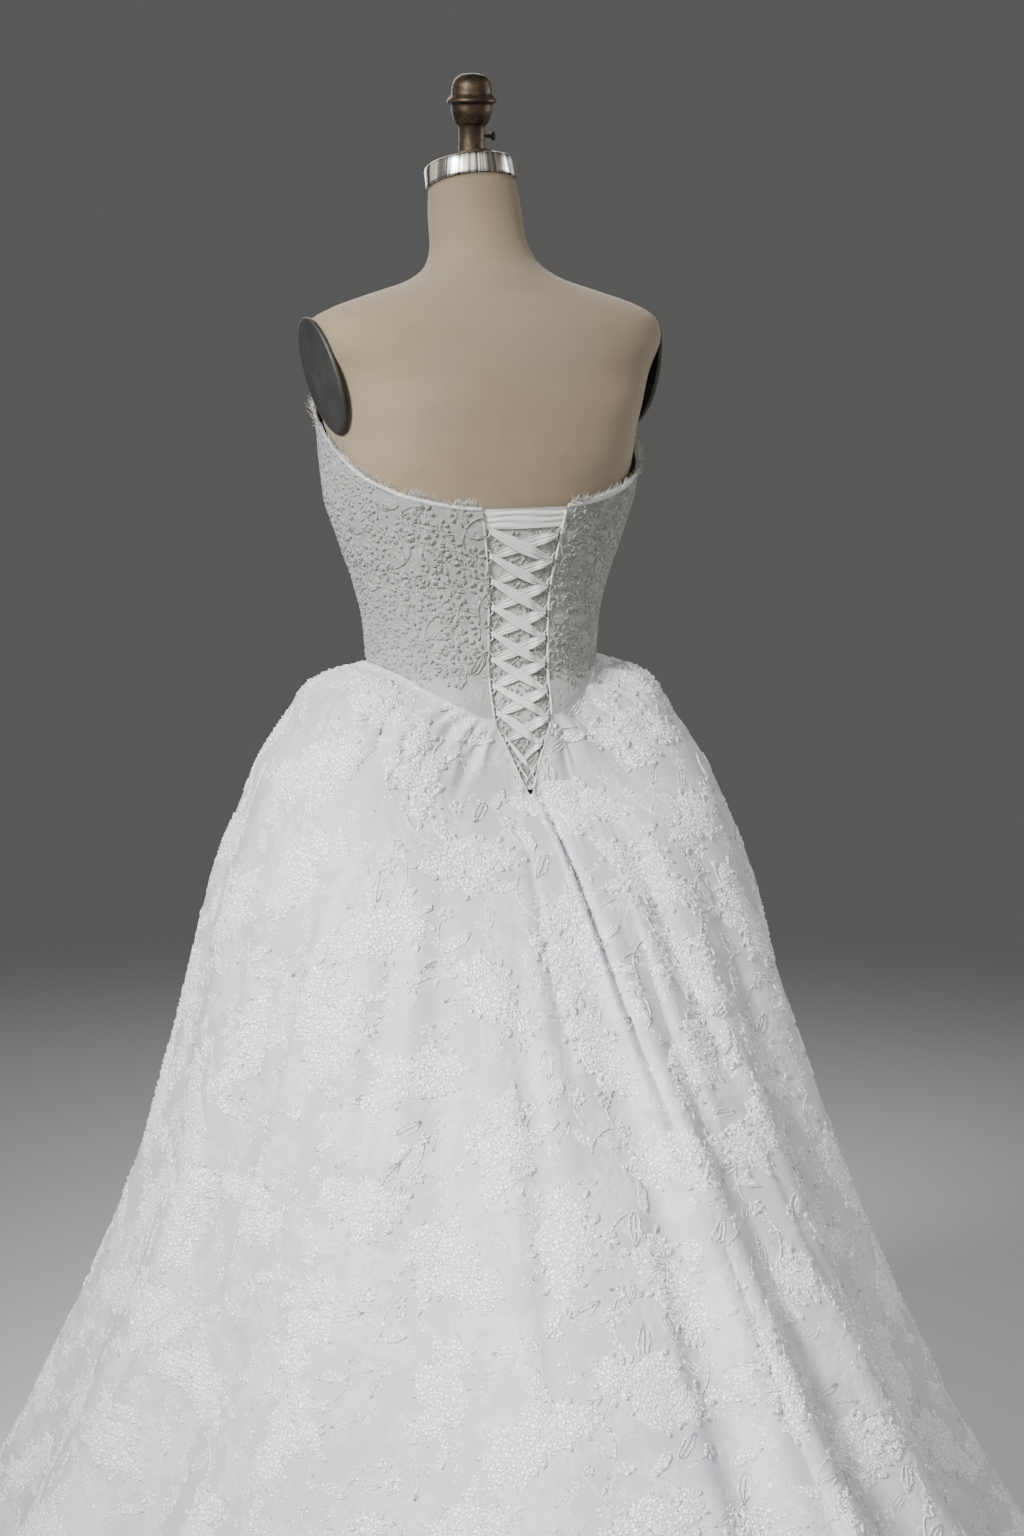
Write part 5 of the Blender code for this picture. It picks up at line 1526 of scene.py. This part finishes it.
def smooth_path(points, parts):
    """Catmull-Rom curve through points, with so many parts between two of them."""
    p = np.asarray(points, float)
    p = np.vstack((2.0 * p[0] - p[1], p, 2.0 * p[-1] - p[-2]))
    t = (np.arange(parts) / parts)[:, None]
    curve = []
    for k in range(1, len(p) - 2):
        a, b, c, d = p[k - 1], p[k], p[k + 1], p[k + 2]
        curve.append(
            0.5 * (2.0 * b + (c - a) * t + (2.0 * a - 5.0 * b + 4.0 * c - d) * t * t
                   + (3.0 * b - a - 3.0 * c + d) * t ** 3)
        )
    curve.append(p[-2:-1])
    return np.concatenate(curve)


def add_top_edges():
    """Narrow rolled edge along the bodice's top, with an eyelash of fine threads."""
    start = float(gap_angle(top_level(24.0))) + 0.3
    for name, side, seed in (("top_edge_left", 1.0, 3), ("top_edge_right", -1.0, 4)):
        rng = random.Random(seed)
        angles = np.linspace(start, 179.9, 230)
        level = top_level(angles)
        here, out = bodice_frame(angles * side, level)
        below = bodice_points(angles * side, level - 0.002)
        rise = unit(here - below)
        wobble = np.array([rng.uniform(-0.0004, 0.0004) for _ in angles])
        middle = here + rise * (0.0006 + wobble)[:, None] + out * (0.0005 + wobble * 0.6)[:, None]
        points, quads, tris = tube(middle, TOP_EDGE_RADIUS, 8, TOP_EDGE_FLAT, rise)
        made = Gathered()
        made.add(points, quads, tris)
        along = unit(np.gradient(middle, axis=0))
        run = lengths_along(middle[None], 1)[0]
        count = int(run[-1] / LASH_PITCH)
        for k in range(count):
            at = run[-1] * (k + rng.random()) / count
            i = min(len(run) - 2, int(np.searchsorted(run, at)))
            clump = math.sin(37.0 * (at // 0.0060))
            scallop = 0.50 + 0.50 * abs(math.sin(math.pi * at / 0.0125 + 0.8 * math.sin(at * 90.0)))
            size = LASH_LENGTH * (scallop + 0.35 * clump * clump) * rng.uniform(0.45, 1.0)
            root = middle[i] + rise[i] * 0.0018 + out[i] * rng.uniform(-0.0008, 0.0012)
            heading = rise[i] * rng.uniform(0.55, 1.1) + out[i] * rng.uniform(0.0, 0.75)
            heading += along[i] * (0.55 * clump + rng.uniform(-0.35, 0.35))
            heading /= np.linalg.norm(heading)
            droop = out[i] * rng.uniform(-0.1, 0.5) + along[i] * rng.uniform(-0.4, 0.4)
            steps = np.linspace(0.0, 1.0, 4)[:, None]
            path = root + heading * size * steps + droop * size * 0.45 * steps * steps
            points, quads, tris = tube(path, LASH_RADII, 3, 1.0, along[i])
            made.add(points, quads, tris[:0])
        item = made.piece(name + "_eyelash", LOOKS["thread"], "trim")
        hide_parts(name)


def loop_middle(side, k):
    first = LOOP_FIRST_LEFT if side > 0.0 else LOOP_FIRST_RIGHT
    return first - LOOP_PITCH * k


def edge_point(side, inset, level, out):
    x = side * max(0.0, float(gap_half(level)) - inset)
    return (x, float(back_depth(x, level)) + out, level)


def add_loops():
    """Row of small cord loops on each side of the lacing, and the corded edge that holds them."""
    # Way down from a loop's middle, reach into the gap
    shape = (
        (-LOOP_HALF - 0.0014, 0.0011), (-LOOP_HALF + 0.0006, 0.0018), (-LOOP_HALF + 0.0026, 0.0042),
        (-0.0030, LOOP_OUT + 0.0002), (0.0, LOOP_OUT + 0.0004), (0.0030, LOOP_OUT + 0.0002),
        (LOOP_HALF - 0.0026, 0.0042), (LOOP_HALF - 0.0006, 0.0018), (LOOP_HALF + 0.0014, 0.0011),
    )
    for name, side in (("loops_left", 1.0), ("loops_right", -1.0)):
        path = []
        for k in range(LOOP_COUNT):
            middle = loop_middle(side, k)
            for down, inset in shape:
                path.append(edge_point(side, inset, middle - down, 0.0))
        curve = smooth_path(path, 4)
        points, quads, tris = tube(curve, CORD_RADIUS, 8, 1.0, (0.0, 1.0, 0.0))
        made = Gathered()
        made.add(points, quads, tris)
        levels = np.linspace(EDGE_CORD_LOW, EDGE_CORD_TOP, 90)
        edge = [edge_point(side, 0.0003, level, 0.0002) for level in levels]
        points, quads, tris = tube(edge, EDGE_CORD_RADIUS, 8, 1.0, (0.0, 1.0, 0.0))
        made.add(points, quads, tris)
        item = made.piece(name + "_cord", LOOKS["thread"], "trim")
        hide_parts(name)


def back_up(x, level):
    high = back_depth(x, level + 0.006)
    low = back_depth(x, level - 0.006)
    return unit(np.stack((np.zeros(np.shape(high)), (high - low) / 0.012, np.ones(np.shape(high))), -1))


def add_ribbons():
    """Two satin ribbons crossing between the loops, in turn over and under one another."""
    for name, start_side, turn, seed in (("ribbon_a", 1.0, 0, 1), ("ribbon_b", -1.0, 1, 2)):
        rng = random.Random(seed)
        xs, levels, outs, halves, tight = [], [], [], [], []
        side = start_side
        for k in range(LOOP_COUNT):
            z0 = loop_middle(side, k)
            z1 = loop_middle(-side, k + 1) if k < LOOP_COUNT - 1 else RIBBON_END
            x0 = side * (float(gap_half(z0)) - LOOP_OUT)
            x1 = -side * max(float(gap_half(z1)) - LOOP_OUT, 0.0006)
            over = 0.0012 if (k + turn) % 2 == 0 else -0.0012
            fit = min(1.0, 0.5 * float(gap_half(z0) + gap_half(z1)) / 0.031)
            sag = rng.uniform(-0.0022, 0.0012)
            twist = rng.uniform(-0.0009, 0.0009)
            for share in np.linspace(0.0, 1.0, 25):
                first = float(ease((share - 0.14) / 0.16))
                second = float(ease((share - 0.70) / 0.16))
                xs.append(x0 + (x1 - x0) * share)
                levels.append(z0 + (z1 - z0) * share + sag * math.sin(math.pi * share))
                outs.append(RIBBON_TURN * (1.0 - first) + over * (first - second) - RIBBON_TURN * second)
                bulge = math.sin(math.pi * share) ** 0.75
                halves.append((RIBBON_TIGHT + (RIBBON_SPREAD + twist) * bulge) * fit)
                tight.append(1.0 - bulge)
            if k < LOOP_COUNT - 1:
                for a in (-60.0, -30.0, 0.0, 30.0, 60.0):
                    xs.append(x1 - side * RIBBON_TURN * math.cos(math.radians(a)))
                    levels.append(z1)
                    outs.append(RIBBON_TURN * math.sin(math.radians(a)))
                    halves.append(RIBBON_TIGHT * fit)
                    tight.append(1.0)
            side = -side
        xs, levels, outs, halves, tight = (np.array(n) for n in (xs, levels, outs, halves, tight))
        path = np.stack((xs, back_depth(xs, levels) + outs, levels), -1)
        ups = back_up(xs, levels)
        out = unit(np.cross(unit(np.gradient(path, axis=0)), ups))
        t = np.linspace(-1.0, 1.0, 13)
        lift = 0.00050 * np.cos(2.8 * math.pi * t + 0.5)[None, :] * (0.55 + tight[:, None])
        lift = lift - 0.0004 * t[None, :] ** 2
        middle = path[:, None] + ups[:, None] * (t[None, :, None] * halves[:, None, None])
        middle = middle + out[:, None] * lift[..., None]
        wall = out[:, None] * RIBBON_WALL
        ring = np.concatenate((middle + wall, (middle - wall)[:, ::-1]), 1)
        rows, cols = ring.shape[:2]
        quads = grid_faces(rows, cols, closed=True)
        item = make_piece(name + "_satin", ring, [quads], LOOKS["ribbon"], "satin")
        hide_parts(name)


def add_modesty():
    """Lace panel behind the lacing and the pleated satin band across its top."""
    u, v = np.meshgrid(np.linspace(0.0, 1.0, 30), np.linspace(0.0, 1.0, 96))
    level = PANEL_LOW + (PANEL_TOP - PANEL_LOW) * v
    half = gap_half(level) + PANEL_MARGIN
    x = half * (2.0 * u - 1.0)
    points = np.stack((x, back_depth(x, level) - PANEL_SINK, level), -1)[::-1]
    normals = grid_normals(points, False)
    normals *= np.sign(normals[..., 1:2])
    item, said = cloth_piece("modesty_panel", points, normals, LOOKS["panel_net"], "bodice_lace", "stretched",
                             ["form_torso"], PANEL_FACE)
    rng = random.Random(9)
    fans = [fan_chart(seed) for seed in range(20, 24)]
    made = Gathered()
    for k in range(PANEL_FANS):
        z = PANEL_FANS_LOW + (PANEL_FANS_TOP - PANEL_FANS_LOW) * (k + rng.random()) / PANEL_FANS
        room = float(gap_half(z)) - 0.004
        x0 = rng.uniform(-room, room)
        chart = rng.choice(fans)
        flip = rng.random() < 0.5
        x, y, height = turned_chart(chart, rng.uniform(0.0, 6.28), 0.72, flip)
        z_at = np.clip(z - y, 0.966, 1.234)
        limit = gap_half(z_at) + 0.006
        x_at = np.clip(x0 + x, -limit, limit)
        depth = back_depth(x_at, z_at) - PANEL_SINK + PANEL_FACE + height * 0.75
        quads, tris = turned_faces(chart, flip)
        made.add(np.stack((x_at, depth, z_at), -1), quads, tris)
    lace = made.piece("modesty_panel_lace", LOOKS["panel_stitch_painted_shade"], "bodice_lace")

    u, v = np.meshgrid(np.linspace(0.0, 1.0, 44), np.linspace(0.0, 1.0, 50))
    wave = 0.00055 * np.sin(v * 3.0 * 2.0 * math.pi + 0.9 * np.sin(u * 5.0) + 0.4)
    lap = 0.00050 * np.abs(np.sin(v * 3.5 * math.pi + 0.5 * np.sin(u * 7.0 + 1.0)))
    level = BAND_LOW + (BAND_TOP - BAND_LOW) * v
    level = level + 0.0008 * np.sin(u * 9.0 + v * 4.0) * np.sin(math.pi * v)
    half = gap_half(level) + BAND_MARGIN
    x = half * (2.0 * u - 1.0)
    points = np.stack((x, back_depth(x, level) - 0.0016 + wave * 0.6 + lap, level), -1)[::-1]
    normals = grid_normals(points, False)
    normals *= np.sign(normals[..., 1:2])
    item, said = cloth_piece("modesty_top_band", points, normals, LOOKS["band"], "satin", "gathered",
                             ["modesty_panel_cloth"], 0.0002)


# Form and stand


def turned(rows, sides):
    """Points and quads of a turned shape from rows of radius, level and lean."""
    t = ring_turns(sides)
    points = []
    for radius, level, lean in rows:
        r = max(radius, 1e-5)
        x, y = r * np.cos(t), r * np.sin(t)
        points.append(np.stack((x, y, level + lean * y), -1))
    return np.concatenate(points), grid_faces(len(rows), sides, closed=True)[:, ::-1]


def add_form():
    levels = np.unique(np.concatenate((
        np.linspace(FORM_LOW, 1.20, 12), np.linspace(1.20, 1.40, 34), np.linspace(1.40, FORM_TOP, 40),
    )))
    angle, level = np.meshgrid(np.linspace(0.0, 360.0, FORM_COLUMNS + 1)[:-1], levels)
    points = form_points(angle, level, -FORM_SHRINK)
    foot = form_points(angle[:1], level[:1], 0.0)
    foot[..., 0] *= 0.93
    foot[..., 1] = 0.02 + (foot[..., 1] - 0.02) * 0.93
    foot[..., 2] -= 0.006
    points = np.concatenate((foot, points))
    rows, cols = points.shape[:2]
    low = np.arange(cols)[None, :]
    high = np.arange(cols)[None, ::-1] + (rows - 1) * cols
    item = make_piece("torso_linen", points, [grid_faces(rows, cols, closed=True)[:, ::-1], low, high],
                      LOOKS["linen"], "form_linen")
    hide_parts("form_torso")
    pin_rows = ((0.0, 0.0012, 0.0), (0.0011, 0.0009, 0.0), (0.0017, 0.0, 0.0), (0.0, -0.0004, 0.0))
    pin, quads = turned(pin_rows, 16)
    out = bodice_frame(np.array([PIN_ANGLE]), np.array([PIN_LEVEL]))[1]
    skin = form_points(PIN_ANGLE, PIN_LEVEL, -FORM_SHRINK)
    turn_to = Vector(out[0]).to_track_quat("Z", "Y").to_matrix()
    pin = pin @ np.array(turn_to).T + skin
    make_piece("pin_head", pin, [quads], LOOKS["plate"], "dark_plate")


def add_cap():
    """Bright neck cap, leaning forward with the neck."""
    rows = [
        (0.0, CAP_H + 0.0006), (0.020, CAP_H + 0.0004), (CAP_R - 0.0040, CAP_H),
        (CAP_R - 0.0016, CAP_H - 0.0004), (CAP_R - 0.0005, CAP_H - 0.0012), (CAP_R, CAP_H - 0.0026),
        (CAP_R, CAP_H - 0.008), (CAP_R, 0.009), (CAP_R, 0.0026), (CAP_R - 0.0003, 0.0012),
        (CAP_R - 0.0012, 0.0003), (CAP_R - 0.0030, 0.0), (0.0, 0.0),
    ]
    points, quads = turned([(r, z, 0.0) for r, z in rows], 128)
    tilt = math.atan(CAP_LEAN)
    c, s = math.cos(tilt), math.sin(tilt)
    moved = np.stack((points[:, 0], points[:, 1] * c - points[:, 2] * s,
                      CAP_LEVEL + points[:, 1] * s + points[:, 2] * c), -1)
    item = make_piece("neck_band", moved, [quads], LOOKS["bright_band"], "bright_metal")
    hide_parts("neck_cap")


def add_finial():
    rows = smooth_path(FINIAL_ROWS, 4)
    rows[:, 0] = np.maximum(rows[:, 0], 0.0)
    points, quads = turned(rows, 72)
    item = make_piece("finial_turned", points, [quads], LOOKS["bronze"], "dark_bronze")
    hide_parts("finial")


def add_screw():
    """Thumb screw on its own body: a threaded shank and a flattened head."""
    shank = SCREW_OUT - 0.0092
    rows = [(0.0, 0.0), (0.0030, 0.0001), (0.0042, 0.0006), (0.0046, 0.0016), (0.0046, 0.0030),
            (0.0042, 0.0039), (0.0032, 0.0044), (SCREW_R + 0.0003, 0.0048)]
    turns = 22
    for k in range(turns):
        z = 0.0052 + (shank - 0.0056) * k / turns
        rows.append((SCREW_R if k % 2 else SCREW_R - 0.0003, z))
    rows += [(SCREW_R - 0.0003, shank - 0.0002), (0.0, shank)]
    points, quads = turned([(r, z, 0.0) for r, z in rows], 32)
    head = points[:, 2] <= 0.0045
    wide = np.where(head, 0.55, 1.0)
    moved = np.stack((-SCREW_OUT + points[:, 2], points[:, 1] * wide, SCREW_Z + points[:, 0]), -1)
    item = make_piece("screw_thumb", moved, [quads], LOOKS["screw_bronze"], "dark_bronze", SCREW)
    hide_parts("thumb_screw")


def add_plates():
    t = ring_turns(PLATE_SIDES)
    rings = ((0.0015, 0.0), (0.0002, 0.0006), (0.0, 0.0014), (0.0, 0.0036), (0.0004, 0.0044),
             (0.0014, 0.0049), (0.0030, 0.0050), (0.0200, 0.0051), (0.0360, 0.0051), (0.0800, 0.0051))
    for name, side in (("arm_plate_left", 1.0), ("arm_plate_right", -1.0)):
        points = []
        for inset, out in rings:
            y = PLATE_Y + np.maximum(PLATE_HALF_Y - inset, 0.001) * np.cos(t)
            z = PLATE_Z + np.maximum(PLATE_HALF_Z - inset * 1.2, 0.001) * np.sin(t)
            x = ARM_CUT_X + ARM_CUT_SLOPE * (z - ARM_CUT_Z) - FORM_SHRINK + 0.0008 + out
            points.append(np.stack((side * x, y - 0.10 * (z - PLATE_Z), z), -1))
        faces = grid_faces(len(rings), len(t), closed=True)
        if side < 0.0:
            faces = faces[:, ::-1]
        cap = np.arange(len(t))[None, :] + (len(rings) - 1) * len(t)
        item = make_piece(
            name + "_disc", np.concatenate(points), [faces, cap], LOOKS["plate"], "dark_plate",
        )
        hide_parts(name)


def add_stand():
    for name, look in (("pole", "pole"), ("stand_base", "iron")):
        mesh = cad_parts[name].data
        mesh.materials.clear()
        mesh.materials.append(LOOKS[look])
        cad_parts[name]["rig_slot"] = "dark_plate" if name == "pole" else "iron"


# Stage


def add_camera():
    azimuth = math.radians(CAMERA_AZIMUTH)
    ahead = Vector((-math.sin(azimuth), math.cos(azimuth), 0.0))
    right = Vector((math.cos(azimuth), math.sin(azimuth), 0.0))
    pitch = math.radians(CAMERA_PITCH)
    offset = (IMAGE_WIDTH * 0.5 - POLE_COLUMN) / FOCAL_PIXELS
    yaw = math.atan(offset * math.cos(pitch))
    level_way = ahead * math.cos(yaw) + right * math.sin(yaw)
    way = level_way * math.cos(pitch) + Vector((0.0, 0.0, math.sin(pitch)))
    data = bpy.data.cameras.new("camera")
    data.sensor_width = SENSOR
    data.lens = FOCAL_PIXELS * SENSOR / IMAGE_HEIGHT
    camera = bpy.data.objects.new("camera", data)
    camera.location = ahead * -CAMERA_DISTANCE + Vector((0.0, 0.0, CAMERA_HEIGHT))
    camera.rotation_mode = "QUATERNION"
    camera.rotation_quaternion = way.to_track_quat("-Z", "Y")
    bpy.context.scene.collection.objects.link(camera)
    bpy.context.scene.camera = camera
    return ahead, right


def add_lights(ahead, right):
    above = Vector((0.0, 0.0, 1.0))
    for name, forward, sideways, high, target, size, energy, spread, colour in LIGHT_ROWS:
        place = ahead * forward + right * sideways + above * high
        data = bpy.data.lights.new(name, "AREA")
        data.shape = "RECTANGLE"
        data.size, data.size_y = size
        data.energy = energy
        data.spread = math.radians(spread)
        data.color = colour
        lamp = bpy.data.objects.new(name, data)
        lamp.location = place
        lamp.rotation_mode = "QUATERNION"
        lamp.rotation_quaternion = (Vector(target) - place).to_track_quat("-Z", "Y")
        bpy.context.scene.collection.objects.link(lamp)


def add_floor():
    """Pale floor that fades into the studio's grey."""
    look, tree, shader = new_look("floor_pale", (0.50, 0.495, 0.485), 0.80)
    here = place_of(tree)
    far = node(tree, "ShaderNodeVectorMath", operation="LENGTH")
    tree.links.new(here, far.inputs[0])
    fade = ramp(tree, math_node(tree, "MULTIPLY", far.outputs["Value"], 1.0 / FLOOR_RADIUS), 0.10, 0.48)
    bump(tree, shader, noise(tree, here, 40.0, 4.0, 0.6), 0.001, 0.15)
    glow = node(tree, "ShaderNodeEmission")
    glow.inputs["Color"].default_value = (*STUDIO_GREY, 1.0)
    blend = node(tree, "ShaderNodeMixShader")
    tree.links.new(fade, blend.inputs["Fac"])
    tree.links.new(shader.outputs["BSDF"], blend.inputs[1])
    tree.links.new(glow.outputs["Emission"], blend.inputs[2])
    ends = [item for item in tree.nodes if item.bl_idname == "ShaderNodeOutputMaterial"]
    tree.links.new(blend.outputs["Shader"], ends[0].inputs["Surface"])
    t = ring_turns(FLOOR_SIDES)
    level = np.full(FLOOR_SIDES, FLOOR_LEVEL)
    points = np.stack((FLOOR_RADIUS * np.cos(t), FLOOR_RADIUS * np.sin(t), level), -1)
    mesh = bpy.data.meshes.new("floor")
    mesh.from_pydata([tuple(p) for p in points.tolist()], [], [tuple(range(FLOOR_SIDES))])
    mesh.materials.append(look)
    floor = bpy.data.objects.new("floor", mesh)
    bpy.context.scene.collection.objects.link(floor)


def add_world():
    world = bpy.data.worlds.new("studio")
    world.use_nodes = True
    world.node_tree.nodes["Background"].inputs["Color"].default_value = (*STUDIO_GREY, 1.0)
    world.node_tree.nodes["Background"].inputs["Strength"].default_value = 1.0
    bpy.context.scene.world = world


ahead, right = add_camera()
add_skirt()
add_bodice()
add_top_edges()
add_modesty()
add_loops()
add_ribbons()
add_form()
add_cap()
add_finial()
add_screw()
add_plates()
add_stand()
add_floor()
add_world()
add_lights(ahead, right)
